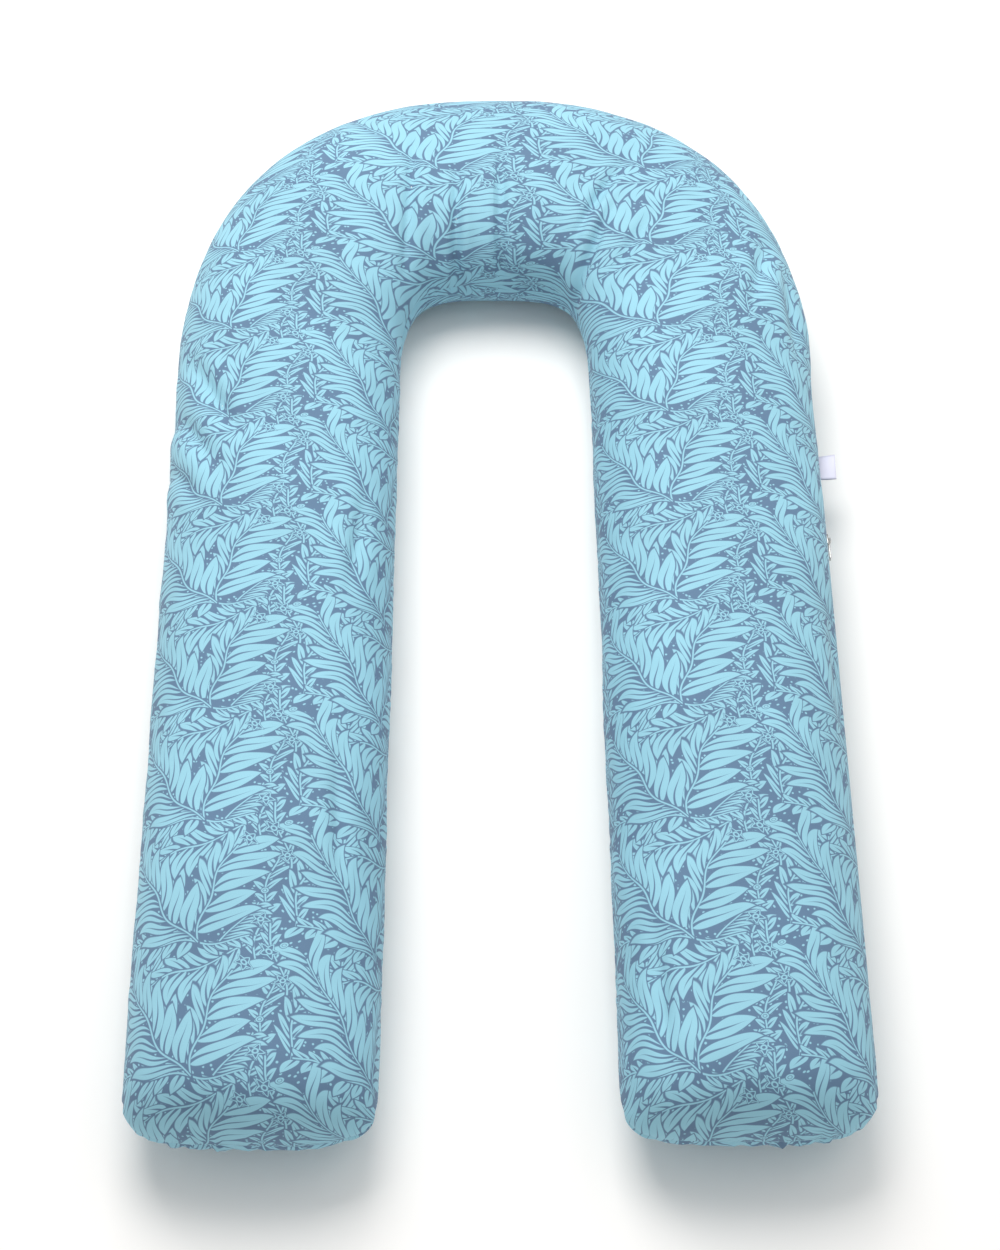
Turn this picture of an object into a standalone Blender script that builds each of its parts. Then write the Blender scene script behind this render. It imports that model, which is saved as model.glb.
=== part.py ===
"""U-shaped nursing pillow: a zipped cotton cover over a fibre-filled inner casing.

The pillow lies flat on the floor, arms towards -Y and bend towards +Y, mirrored about X = 0.
Its skins are nested shells on one lattice: a row runs along the centre line, a column across it.
"""
import math

import bmesh
import bpy
import numpy as np

MM = 0.001

# Overall shape
TUBE_WIDTH = 0.280            # across the stuffed tube, seam to seam
CROWN_HEIGHT = 0.180          # top of the tube above the floor
SEAM_HEIGHT = 0.078           # side seam above the floor
CENTRE_LENGTH = 1.310         # arm end to the middle of the bend, along Y
BEND_DEPTH = 0.310            # share of that length that curves
BEND_HALF_SPAN = 0.261        # centre line to the middle plane where the bend starts
ARM_END_HALF_SPAN = 0.273     # the same at the arm's end: the arms splay a little
BEND_SQUARENESS = 2.6         # exponent of the superellipse that the bend follows
END_ROUND = 0.075             # reach of the arm end's rounding, in plan and in section
SEAM_BAND = 0.014             # upright strip above and below the side seam

# Section curves: superellipse exponents
PLAN_POWER = 2.46
CROWN_POWER = 2.2
BASE_POWER = 2.6
BASE_SPREAD = 1.08            # the base curve overshoots the floor by this much and is flattened

# Layers, from the outside in
COVER_CLOTH = 0.4 * MM
CASING_CLOTH = 0.3 * MM
LAYER_GAP = 0.3 * MM
SEAM_GAP = 0.3 * MM

# Lattice
COLUMNS = 8
END_ROWS = 4
ARM_ROWS = 3
BEND_ROWS = 9
FILL_SETBACK = 0.120          # the arm filling stops this far short of the bend

# Zip in the outer seam of the right arm (x outward, y along, z up, all from the seam line)
ZIP_TO_LABEL = 0.100          # from the zip's closed end to the label's middle
ZIP_SETBACK = 0.220           # from the arm's end to the zip's open end
ZIP_OVERRUN = 0.015           # tape beyond each end of the coil
SLOT_HALF = 5.5 * MM          # cover edges set back from the seam line along the zip
TAPE_DEPTH = COVER_CLOTH + LAYER_GAP
TAPE_THICK = 0.5 * MM
TAPE_EDGE = 13.0 * MM
COIL_INNER = 1.05 * MM
COIL_OUTER = 3.05 * MM
COIL_HEIGHT = 1.8 * MM
STOP_OUTER = 3.9 * MM
STOP_LENGTH = 3.0 * MM

# Slider and pull
SLIDER_LENGTH = 13.0 * MM
SLIDER_HALF_WIDTH = 4.7 * MM
SLIDER_PLATE = 1.4 * MM
SLIDER_FLANGE = 1.2 * MM
POST_LENGTH = 5.0 * MM
EARS_HALF_LENGTH = 3.2 * MM
EARS_HALF_WIDTH = 1.6 * MM
EAR_WALL = 1.2 * MM
PIN_RADIUS = 0.8 * MM
PULL_LENGTH = 27.0 * MM
PULL_HALF_WIDTH = 3.6 * MM
PULL_THICK = 1.4 * MM
PULL_EYE = 5.5 * MM           # far end of the eye, from the pin
FIT = 0.3 * MM                # running clearance between zip pieces

# Side label, folded and sewn into the outer seam of the right arm
LABEL_SETBACK = 0.120         # its middle, short of the bend
LABEL_WIDTH = 0.034
LABEL_PROUD = 0.021
LABEL_ROOT = 2.2 * MM
LABEL_THICK = 1.2 * MM

# Worked out from the values above
HALF_WIDTH = TUBE_WIDTH / 2
ARM_LENGTH = CENTRE_LENGTH - BEND_DEPTH
ARM_END_Y = -(CENTRE_LENGTH + HALF_WIDTH) / 2
END_ZONE = 2.5 * END_ROUND
FILL_SPLIT = ARM_LENGTH - FILL_SETBACK
LABEL_ALONG = ARM_LENGTH - LABEL_SETBACK
ZIP_LENGTH = LABEL_ALONG - ZIP_TO_LABEL - ZIP_SETBACK
ZIP_ALONG = ZIP_SETBACK + ZIP_LENGTH / 2
TAPE_BACK = TAPE_DEPTH + TAPE_THICK                   # the tapes' inner face, in from the seam
CASING_INSET = TAPE_BACK + SLIDER_PLATE + 2 * FIT     # room for the slider's inner plate
CASING_DROP = COVER_CLOTH + LAYER_GAP
FILL_INSET = CASING_INSET + CASING_CLOTH + LAYER_GAP
FILL_DROP = CASING_DROP + CASING_CLOTH + LAYER_GAP
COIL_BASE = -TAPE_DEPTH + FIT                         # coil and stops stand just off the tape
COIL_TOP = COIL_BASE + COIL_HEIGHT
PLATE_BASE = COIL_TOP + FIT                           # underside of the slider's outer plate
PLATE_TOP = PLATE_BASE + SLIDER_PLATE
EYE_ROOM = 2 * (PIN_RADIUS + FIT)                     # slot that the pull's pin turns in
PIN_OUT = PLATE_TOP + EYE_ROOM / 2                    # pin axis, out from the seam line


# ---------------------------------------------------------------- scene and materials

def clear_scene():
    for old in list(bpy.data.objects):
        bpy.data.objects.remove(old, do_unlink=True)


def new_collection(name):
    collection = bpy.data.collections.new(name)
    bpy.context.scene.collection.children.link(collection)
    return collection


def material(name, colour, roughness, metallic=0.0):
    mat = bpy.data.materials.new(name)
    mat.use_nodes = True
    shader = mat.node_tree.nodes["Principled BSDF"]
    shader.inputs["Base Color"].default_value = (*colour, 1.0)
    shader.inputs["Roughness"].default_value = roughness
    shader.inputs["Metallic"].default_value = metallic
    return mat


def add_object(bm, name, collection, mat=None, smooth=False):
    mesh = bpy.data.meshes.new(name)
    bm.to_mesh(mesh)
    bm.free()
    if smooth:
        mesh.shade_smooth()
        mesh.set_sharp_from_angle(angle=math.radians(40))
    obj = bpy.data.objects.new(name, mesh)
    if mat is not None:
        obj.data.materials.append(mat)
    collection.objects.link(obj)
    return obj


# ---------------------------------------------------------------- centre line and section

def sample_centre_line():
    """Right half of the centre line, as distance from the arm's end, x and y."""
    bend_y = ARM_END_Y + ARM_LENGTH
    turn = np.linspace(0, math.pi / 2, 400)
    bend_x = BEND_HALF_SPAN * np.cos(turn).clip(0) ** (2 / BEND_SQUARENESS)
    bend_top = bend_y + BEND_DEPTH * np.sin(turn) ** (2 / BEND_SQUARENESS)
    arm = np.linspace(0, 1, 200, endpoint=False)
    arm_x = ARM_END_HALF_SPAN + (BEND_HALF_SPAN - ARM_END_HALF_SPAN) * arm
    arm_y = ARM_END_Y + ARM_LENGTH * arm
    x = np.concatenate([arm_x, bend_x])
    y = np.concatenate([arm_y, bend_top])
    steps = np.hypot(np.diff(x), np.diff(y))
    return np.concatenate([[0], np.cumsum(steps)]), x, y


CENTRE_S, CENTRE_X, CENTRE_Y = sample_centre_line()
HALF_LENGTH = float(CENTRE_S[-1])


def centre_frame(along):
    """Point on the right half's centre line and its outward direction, in plan."""
    x = float(np.interp(along, CENTRE_S, CENTRE_X))
    y = float(np.interp(along, CENTRE_S, CENTRE_Y))
    reach = 0.004
    low = max(along - reach, 0.0)
    high = min(along + reach, HALF_LENGTH)
    dx = float(np.interp(high, CENTRE_S, CENTRE_X) - np.interp(low, CENTRE_S, CENTRE_X))
    dy = float(np.interp(high, CENTRE_S, CENTRE_Y) - np.interp(low, CENTRE_S, CENTRE_Y))
    if along >= HALF_LENGTH:
        return 0.0, y, 0.0, 1.0
    size = math.hypot(dx, dy)
    return x, y, dy / size, -dx / size


def dome(share, power):
    """Height of a superellipse arch at a share of its half-width."""
    return max(1 - abs(share) ** power, 0.0) ** (1 / power)


def lattice_rows(first, last):
    """Rows between two distances from the arm's end: (back, along), where back is the share
    of the rounded end passed so far and along is the distance once the end is passed."""
    rows = []
    if first <= 0:
        rows.append((-1.0, None))
        for k in range(END_ROWS + 1):
            turn = math.pi / 2 * k / END_ROWS
            rows.append((1 - math.cos(turn) ** (2 / PLAN_POWER), None))
    stops = list(np.linspace(END_ZONE, ARM_LENGTH, ARM_ROWS + 1))
    stops += list(np.linspace(ARM_LENGTH, HALF_LENGTH, BEND_ROWS + 1)[1:])
    inside = [s for s in stops if first + 0.001 < s < last - 0.001]
    if first > 0:
        inside.insert(0, first)
    inside.append(last)
    return rows + [(1.0, float(s)) for s in inside]


def lattice_point(row, column, upper, inset, drop, seam_gap, side):
    """One point of a skin: inset shrinks it in plan, drop lowers the crown and lifts the base."""
    back, along = row
    turn = math.pi * min(max(column - 1, 0), COLUMNS) / COLUMNS
    across = math.copysign(abs(math.cos(turn)) ** (2 / PLAN_POWER), math.cos(turn))
    if along is None:
        front = (END_ROUND - inset) * (1 - dome(across, PLAN_POWER))
        along = inset + front + max(back, 0.0) * (END_ROUND - inset)
    x, y, out_x, out_y = centre_frame(along)
    reach = across * (HALF_WIDTH - inset)
    x = max(x + out_x * reach, 0.0)
    y = y + out_y * reach
    at_seam = back < 0 or column in (0, COLUMNS + 2)
    if at_seam:
        z = SEAM_HEIGHT + (seam_gap / 2 if upper else -seam_gap / 2)
    elif upper:
        rise = CROWN_HEIGHT - SEAM_HEIGHT - SEAM_BAND
        z = SEAM_HEIGHT + SEAM_BAND - drop
        z += rise * dome(across, CROWN_POWER) * dome(1 - back, CROWN_POWER)
    else:
        fall = (SEAM_HEIGHT - SEAM_BAND) * BASE_SPREAD
        z = SEAM_HEIGHT - SEAM_BAND + drop
        z -= fall * dome(across, BASE_POWER) * dome(1 - back, BASE_POWER)
        z = max(z, drop)
    return side * x, y, z


def add_panel(bm, rows, upper, inset, drop, seam_gap, side):
    """Add the upper or lower skin of one half to a bmesh, as an open grid of triangles."""
    columns = COLUMNS + 2
    grid = bmesh.ops.create_grid(bm, x_segments=columns, y_segments=len(rows) - 1, size=1)
    for vert in grid["verts"]:
        column = round((vert.co.x + 1) / 2 * columns)
        row = rows[round((vert.co.y + 1) / 2 * (len(rows) - 1))]
        vert.co = lattice_point(row, column, upper, inset, drop, seam_gap, side)
    faces = list({face for vert in grid["verts"] for face in vert.link_faces})
    bmesh.ops.triangulate(bm, faces=faces, quad_method="FIXED")


def weld_and_orient(bm, upper):
    """Close the corners of the grid and turn the skin's faces outwards."""
    bmesh.ops.remove_doubles(bm, verts=bm.verts, dist=1e-6)
    bm.normal_update()
    tilt = sum(face.normal.z * face.calc_area() for face in bm.faces)
    if (tilt > 0) != upper:
        bmesh.ops.reverse_faces(bm, faces=bm.faces)


def add_wall(obj, thickness):
    wall = obj.modifiers.new("cloth", "SOLIDIFY")
    wall.thickness = thickness
    wall.offset = -1
    wall.use_rim = True


# ---------------------------------------------------------------- skins and filling

def cover_panel(name, upper, side, collection, mat, cutters):
    """Quarter of the zipped cover: one face of one half, up to the seam across the bend."""
    rows = lattice_rows(0, HALF_LENGTH)
    bm = bmesh.new()
    add_panel(bm, rows, upper, 0.0, 0.0, SEAM_GAP, side)
    for vert in bm.verts:
        vert.co.x = side * max(side * vert.co.x, SEAM_GAP / 2)
    weld_and_orient(bm, upper)
    obj = add_object(bm, name, collection, mat, smooth=True)
    add_wall(obj, COVER_CLOTH)
    for cutter in cutters:
        cut = obj.modifiers.new(cutter.name, "BOOLEAN")
        cut.operation = "DIFFERENCE"
        cut.object = cutter
        cut.solver = "EXACT"
    return obj


def casing_panel(name, upper, collection, mat):
    """Upper or lower face of the inner casing, in one piece round the whole U."""
    rows = lattice_rows(0, HALF_LENGTH)
    bm = bmesh.new()
    for side in (1, -1):
        add_panel(bm, rows, upper, CASING_INSET, CASING_DROP, SEAM_GAP, side)
    bmesh.ops.remove_doubles(bm, verts=bm.verts, dist=1e-6)
    bmesh.ops.recalc_face_normals(bm, faces=bm.faces)
    weld_and_orient(bm, upper)
    obj = add_object(bm, name, collection, mat, smooth=True)
    add_wall(obj, CASING_CLOTH)
    return obj


def filling(name, first, last, sides, collection, mat):
    """Closed body of fibre filling between two distances from the arm's end."""
    rows = lattice_rows(first, last)
    bm = bmesh.new()
    for side in sides:
        for upper in (True, False):
            add_panel(bm, rows, upper, FILL_INSET, FILL_DROP, 0.0, side)
    bmesh.ops.remove_doubles(bm, verts=bm.verts, dist=1e-6)
    open_edges = [edge for edge in bm.edges if edge.is_boundary]
    caps = bmesh.ops.holes_fill(bm, edges=open_edges)
    bmesh.ops.triangulate(bm, faces=caps["faces"])
    bmesh.ops.recalc_face_normals(bm, faces=bm.faces)
    return add_object(bm, name, collection, mat, smooth=True)


# ---------------------------------------------------------------- pieces on the side seam

def seam_frame(name, along, collection):
    """Empty on the right arm's outer seam, x outward, y towards the bend."""
    x, y, out_x, out_y = centre_frame(along)
    empty = bpy.data.objects.new(name, None)
    empty.location = (x + out_x * HALF_WIDTH, y + out_y * HALF_WIDTH, SEAM_HEIGHT)
    empty.rotation_euler = (0, 0, math.atan2(out_y, out_x))
    collection.objects.link(empty)
    return empty


def block(name, low, high, collection, mat=None, parent=None):
    """Box between two corners, given in its parent's frame."""
    bm = bmesh.new()
    bmesh.ops.create_cube(bm, size=1)
    size = [b - a for a, b in zip(low, high)]
    middle = [(a + b) / 2 for a, b in zip(low, high)]
    bmesh.ops.scale(bm, vec=size, verts=bm.verts)
    bmesh.ops.translate(bm, vec=middle, verts=bm.verts)
    obj = add_object(bm, name, collection, mat)
    obj.parent = parent
    return obj


def cutter_block(name, low, high, collection, parent):
    obj = block(name, low, high, collection, parent=parent)
    obj.hide_render = True
    obj.display_type = "WIRE"
    return obj


def join(obj, other, operation):
    step = obj.modifiers.new(other.name, "BOOLEAN")
    step.operation = operation
    step.object = other
    step.solver = "EXACT"


def zip_tapes(frame, collection, mat):
    reach = ZIP_LENGTH / 2 + ZIP_OVERRUN
    for name, sign in (("zip_tape_upper", 1), ("zip_tape_lower", -1)):
        z_low, z_high = sorted((sign * COIL_INNER, sign * TAPE_EDGE))
        low = (-TAPE_BACK, -reach, z_low)
        high = (-TAPE_DEPTH, reach, z_high)
        block(name, low, high, collection, mat, frame)


def zip_coils(frame, collection, mat):
    for name, sign in (("zip_coil_upper", 1), ("zip_coil_lower", -1)):
        z_low, z_high = sorted((sign * COIL_INNER, sign * COIL_OUTER))
        low = (COIL_BASE, -ZIP_LENGTH / 2, z_low)
        high = (COIL_TOP, ZIP_LENGTH / 2, z_high)
        block(name, low, high, collection, mat, frame)


def zip_stops(frame, collection, mat):
    start = ZIP_LENGTH / 2 + FIT
    for name, sign in (("zip_top_stop_upper", 1), ("zip_top_stop_lower", -1)):
        z_low, z_high = sorted((sign * COIL_INNER, sign * STOP_OUTER))
        low = (COIL_BASE, start, z_low)
        high = (COIL_TOP, start + STOP_LENGTH, z_high)
        block(name, low, high, collection, mat, frame)
    low = (COIL_BASE, -start - STOP_LENGTH, -STOP_OUTER)
    high = (COIL_TOP, -start, STOP_OUTER)
    block("zip_bottom_stop", low, high, collection, mat, frame)


def slider_frame(frame, collection):
    """Empty at the slider's middle, at the closed end of the zip."""
    empty = bpy.data.objects.new("slider_frame", None)
    empty.parent = frame
    empty.location = (0, ZIP_LENGTH / 2 - SLIDER_LENGTH / 2, 0)
    collection.objects.link(empty)
    return empty


def zip_slider(frame, collection, cutters, mat):
    """Outer plate joined to the post, inner plate, side flanges and the ears that hold the pull."""
    end = SLIDER_LENGTH / 2
    half = SLIDER_HALF_WIDTH
    back = -TAPE_BACK - FIT
    low = (PLATE_BASE, -end, -half)
    slider = block("zip_slider", low, (PLATE_TOP, end, half), collection, mat, frame)
    post = cutter_block("post", (back - 0.2 * MM, end - 0.5 * MM - POST_LENGTH, -COIL_INNER + FIT),
                        (PLATE_BASE + 0.2 * MM, end - 0.5 * MM, COIL_INNER - FIT), cutters, frame)
    inner = cutter_block("inner_plate", (back - SLIDER_PLATE, -end + MM, -half + 0.3 * MM),
                         (back, end - 0.3 * MM, half - 0.3 * MM), cutters, frame)
    join(slider, post, "UNION")
    join(slider, inner, "UNION")
    for name, sign in (("flange_upper", 1), ("flange_lower", -1)):
        edge = half - 0.1 * MM
        z_low, z_high = sorted((sign * (edge - SLIDER_FLANGE), sign * edge))
        flange = cutter_block(name, (COIL_BASE, -end + 0.2 * MM, z_low),
                              (PLATE_BASE + 0.2 * MM, end - 0.2 * MM, z_high), cutters, frame)
        join(slider, flange, "UNION")
    ears = cutter_block("ears", (PLATE_TOP - 0.2 * MM, -EARS_HALF_LENGTH, -EARS_HALF_WIDTH),
                        (PLATE_TOP + EYE_ROOM + EAR_WALL, EARS_HALF_LENGTH, EARS_HALF_WIDTH),
                        cutters, frame)
    join(slider, ears, "UNION")
    room = EARS_HALF_LENGTH - EAR_WALL
    slot = cutter_block("pin_slot", (PLATE_TOP, -room, -half), (PLATE_TOP + EYE_ROOM, room, half),
                        cutters, frame)
    join(slider, slot, "DIFFERENCE")
    return slider


def zip_pull(frame, collection, cutters, mat):
    """Flat tab with an eye whose pin turns in the slider's ears; its origin is on the pin."""
    axis = bpy.data.objects.new("pull_axis", None)
    axis.parent = frame
    axis.location = (PIN_OUT, 0, 0)
    collection.objects.link(axis)
    pin_edge = 0.45 * MM
    thick = PULL_THICK / 2
    low = (-thick, -PULL_LENGTH, -PULL_HALF_WIDTH)
    pull = block("zip_pull", low, (thick, pin_edge, PULL_HALF_WIDTH), collection, mat, axis)
    room = EARS_HALF_WIDTH + 1.5 * FIT
    eye = cutter_block("pull_eye", (-2 * thick, -PULL_EYE, -room), (2 * thick, -pin_edge, room),
                       cutters, axis)
    join(pull, eye, "DIFFERENCE")
    bm = bmesh.new()
    bmesh.ops.create_cone(bm, cap_ends=True, segments=16, radius1=PIN_RADIUS, radius2=PIN_RADIUS,
                          depth=2 * PULL_HALF_WIDTH - 0.4 * MM)
    pin = add_object(bm, "pull_pin", cutters)
    pin.parent = axis
    pin.hide_render = True
    pin.display_type = "WIRE"
    join(pull, pin, "UNION")
    return pull


def side_label(frame, collection, mat):
    """Folded blank label, caught between the cover's two edges."""
    half = LABEL_WIDTH / 2
    thick = LABEL_THICK / 2
    label = block("side_label", (-LABEL_ROOT, -half, -thick), (LABEL_PROUD, half, thick),
                  collection, mat, frame)
    rounding = label.modifiers.new("fold", "BEVEL")
    rounding.width = 0.4 * MM
    rounding.segments = 2
    return label


# ---------------------------------------------------------------- assembly

def main():
    clear_scene()
    pillow = new_collection("nursing_pillow")
    cutters = new_collection("cutters")

    print_cotton = material("printed_cotton", (0.28, 0.47, 0.58), 0.85)
    lining = material("white_nonwoven", (0.86, 0.86, 0.84), 0.9)
    fibre = material("hollow_fibre", (0.93, 0.93, 0.92), 0.95)
    tape = material("zip_tape", (0.55, 0.66, 0.72), 0.8)
    nylon = material("nylon_coil", (0.60, 0.70, 0.76), 0.4)
    nickel = material("nickel_plate", (0.72, 0.72, 0.70), 0.25, 1.0)
    satin = material("satin_label", (0.80, 0.79, 0.86), 0.5)

    zip_frame = seam_frame("zip_frame", ZIP_ALONG, cutters)
    label_frame = seam_frame("label_frame", LABEL_ALONG, cutters)
    slot_reach = ZIP_LENGTH / 2 + STOP_LENGTH + 3 * FIT
    zip_slot = cutter_block("zip_slot", (-TAPE_DEPTH, -slot_reach, -SLOT_HALF),
                            (TAPE_DEPTH, slot_reach, SLOT_HALF), cutters, zip_frame)
    room = LABEL_WIDTH / 2 + FIT
    label_notch = cutter_block("label_notch", (-TAPE_DEPTH, -room, -LABEL_THICK / 2 - FIT),
                               (TAPE_DEPTH, room, LABEL_THICK / 2 + FIT), cutters, label_frame)
    right_cuts = [zip_slot, label_notch]
    cover_panel("cover_top_right", True, 1, pillow, print_cotton, right_cuts)
    cover_panel("cover_bottom_right", False, 1, pillow, print_cotton, right_cuts)
    cover_panel("cover_top_left", True, -1, pillow, print_cotton, [])
    cover_panel("cover_bottom_left", False, -1, pillow, print_cotton, [])
    casing_panel("casing_top", True, pillow, lining)
    casing_panel("casing_bottom", False, pillow, lining)
    arm_end = FILL_SPLIT - LAYER_GAP / 2
    bend_start = FILL_SPLIT + LAYER_GAP / 2
    filling("fill_right_arm", 0, arm_end, [1], pillow, fibre)
    filling("fill_left_arm", 0, arm_end, [-1], pillow, fibre)
    filling("fill_bend", bend_start, HALF_LENGTH, [1, -1], pillow, fibre)
    zip_tapes(zip_frame, pillow, tape)
    zip_coils(zip_frame, pillow, nylon)
    zip_stops(zip_frame, pillow, nickel)
    moving = slider_frame(zip_frame, pillow)
    zip_slider(moving, pillow, cutters, nickel)
    zip_pull(moving, pillow, cutters, nickel)
    side_label(label_frame, pillow, satin)


main()
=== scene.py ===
"""U-shaped nursing pillow: printed cotton cover, zip, casing and filling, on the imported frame.

The cover is one welded lattice, stuffed by a cloth simulation, then cut into its four panels.
The print is drawn by node groups on the cloth's own flat map, in metres of cloth.
"""

import math

import bmesh
import bpy
import numpy as np
from mathutils import Matrix, Vector, noise


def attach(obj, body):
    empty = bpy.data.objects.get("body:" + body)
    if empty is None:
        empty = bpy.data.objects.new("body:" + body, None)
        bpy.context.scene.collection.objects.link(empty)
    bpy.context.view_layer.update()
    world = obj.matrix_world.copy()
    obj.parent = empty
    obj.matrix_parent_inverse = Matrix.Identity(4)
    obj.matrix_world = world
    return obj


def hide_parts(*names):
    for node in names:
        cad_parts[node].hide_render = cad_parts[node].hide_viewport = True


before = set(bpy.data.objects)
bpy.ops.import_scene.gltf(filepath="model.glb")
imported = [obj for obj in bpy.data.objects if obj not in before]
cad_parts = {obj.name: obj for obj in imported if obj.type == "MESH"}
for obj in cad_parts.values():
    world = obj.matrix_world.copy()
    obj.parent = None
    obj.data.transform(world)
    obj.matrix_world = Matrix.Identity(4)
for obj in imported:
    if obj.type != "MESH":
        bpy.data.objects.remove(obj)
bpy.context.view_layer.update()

bl_info = {
    "name": "Nursing pillow",
    "version": (1, 0, 0),
    "blender": (4, 5, 0),
    "location": "View3D > Sidebar > Pillow",
    "description": "Builds a stuffed U-shaped nursing pillow with a printed, zipped cotton cover",
    "category": "Object",
}

MM = 0.001
FLAT_SQUEEZE = 0.81  # the U is cut with its arms closer together than they lie once stuffed
FLAT_GATHER = 0.115  # the cloth is drawn together towards the bend, so the print runs closer there
OVER_TAPE = 0.9 * MM  # the cover lies this far over the zip's tape
PANELS = ("cover_top_right", "cover_top_left", "cover_bottom_right", "cover_bottom_left")


def srgb(code):
    """Linear colour from an sRGB hex code."""
    parts = [int(code[i:i + 2], 16) / 255 for i in (0, 2, 4)]
    return [c / 12.92 if c <= 0.04045 else ((c + 0.055) / 1.055) ** 2.4 for c in parts]


def length(name, metres, text):
    """A size that the user may change."""
    return bpy.props.FloatProperty(name=name, default=metres, unit="LENGTH", precision=4,
                                   description=text)


def number(name, value, text, **more):
    """A plain number that the user may change."""
    return bpy.props.FloatProperty(name=name, default=value, description=text, **more)


def colour(name, code, text):
    """A colour that the user may change, from its sRGB hex code."""
    return bpy.props.FloatVectorProperty(name=name, default=srgb(code), subtype="COLOR", size=3,
                                         min=0, max=1, description=text)


# ---------------------------------------------------------------- sizes and colours

class PillowShape(bpy.types.PropertyGroup):
    """The stuffed form. It is the CAD part's, but for its squarer, tucked ends."""
    tube_width: length("Tube width", 0.280, "Across the stuffed tube, seam to seam")
    crown: length("Crown height", 0.180, "Top of the tube above the floor")
    seam: length("Seam height", 0.078, "Side seam above the floor")
    arm_length: length("Arm length", 1.0, "Straight part of the centre line")
    bend_depth: length("Bend depth", 0.310, "How far the bend reaches past the arms")
    bend_half_span: length("Bend half span", 0.261, "Centre line to the middle, at the bend")
    arm_half_span: length("Arm half span", 0.273, "Centre line to the middle, at the arm's end")
    arm_end_y: length("Arm end", -0.725, "Where the arms end, along Y")
    end_round: length("End rounding", 0.075, "Reach of the arm end's rounding")
    fill_split: length("Filling joint", 0.880, "From the arm's end to the bend's filling")
    bend_power: number("Bend squareness", 2.6, "Exponent of the superellipse the bend follows")
    plan_power: number("End squareness", 2.46, "Exponent of the arm end's outline")
    crown_power: number("Crown fullness", 2.4, "Exponent of the section above the seam")
    base_power: number("Base fullness", 2.75, "Exponent of the section below the seam")
    end_power: number("Stuffed end squareness", 3.6, "Exponent of the end's outline once stuffed")
    tuck_power: number("End tuck", 1.5, "Exponent of the end below its seam")
    base_spread: number("Base spread", 1.06, "How far the base would pass the floor")


class PillowCloth(bpy.types.PropertyGroup):
    """The cover's lattice and the simulation that stuffs it."""
    columns: bpy.props.IntProperty(name="Columns", default=36,
                                   description="Cells across each face of the cover")
    row: length("Row spacing", 0.0105, "Cells along the cover")
    frames: bpy.props.IntProperty(name="Frames", default=20,
                                  description="Frames that the cloth simulation runs")
    pressure: number("Pressure", 4.0, "Pressure of the filling in the simulation")
    slack: number("Slack", 0.045, "Spare cloth at the outer seams of the bend and ends",
                  subtype="FACTOR")
    cap: length("Most movement", 0.010, "No point of the cloth moves further than this")
    wall: length("Cloth thickness", 0.0005, "Cotton cloth with its seam allowance")
    casing_inset: length("Casing inset", 0.0044, "Cover to casing")
    fill_inset: length("Filling inset", 0.0056, "Cover to filling")


class PillowPrint(bpy.types.PropertyGroup):
    """The leaf print and its colours."""
    repeat_x: length("Repeat across", 0.219, "The print repeats this often across the cloth")
    repeat_y: length("Repeat along", 0.158, "The print repeats this often along the cloth")
    shift_x: length("Shift across", -0.058, "Moves the print across the cloth")
    shift_y: length("Shift along", -0.046, "Moves the print along the cloth")
    sway: length("Sway", 0.0034, "How far the drawn stems and leaves wander")
    outline: length("Outline", 0.0014, "Ground left round the leaves that lie in front")
    seed_gap: length("Seed spacing", 0.0090, "Between the small dots in the ground")
    seed: length("Seed radius", 0.0014, "Size of the small dots in the ground")
    leaf: colour("Leaf", "97CADA", "Leaves, stems and flowers")
    ground: colour("Ground", "637E99", "Cloth between the leaves")


class PillowTrim(bpy.types.PropertyGroup):
    """Zip and label."""
    zip_length: length("Zip length", 0.560, "Coil of the zip")
    zip_along: length("Zip middle", 0.500, "Middle of the zip, from the arm's end")
    slot_half: length("Slot half width", 0.0055, "Seam line to the cover's edge along the zip")
    coil_turns: bpy.props.IntProperty(name="Coil turns", default=400,
                                      description="Turns of wire along each side of the zip")
    coil_wire: length("Coil wire", 0.00034, "Radius of the nylon wire")
    label_along: length("Label place", 0.880, "Middle of the label, from the arm's end")
    label_width: length("Label width", 0.034, "Along the seam")
    label_proud: length("Label length", 0.021, "Out from the seam")
    tape: colour("Tape", "9CC4D4", "Woven zip tape")
    coil: colour("Coil", "A9CBD8", "Nylon coil")
    label: colour("Label", "D9D6E6", "Satin label")
    lining: colour("Lining", "F1F0EC", "Casing cloth")
    fibre: colour("Fibre", "F7F7F4", "Hollow fibre filling")
    metal: colour("Metal", "ABAAA7", "Nickel plate of the slider, pull and stops")


class PillowStage(bpy.types.PropertyGroup):
    """Camera, floor and lights."""
    elevation: number("Elevation", math.radians(59.2), "Camera above the horizon", unit="ROTATION")
    azimuth: number("Azimuth", math.radians(0.4), "Camera round the pillow", unit="ROTATION")
    distance: length("Distance", 3.341, "Camera to the point it looks at")
    lens: number("Lens", 100.3, "Focal length on a 36 mm sensor", unit="CAMERA")
    floor: colour("Floor", "FFFBF7", "Pale floor")
    sky: number("Sky", 0.56, "Strength of the even light from all sides")


# ---------------------------------------------------------------- shared helpers

def settings(context, name):
    """The scene's values of one group."""
    return getattr(context.scene, "pillow_" + name)


def link_piece(context, name, mesh):
    """A new object for a mesh, in place of the last build's."""
    old = bpy.data.objects.get(name + "_cloth")
    if old is not None:
        bpy.data.objects.remove(old, do_unlink=True)
    obj = bpy.data.objects.new(name + "_cloth", mesh)
    context.scene.collection.objects.link(obj)
    return obj


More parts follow.
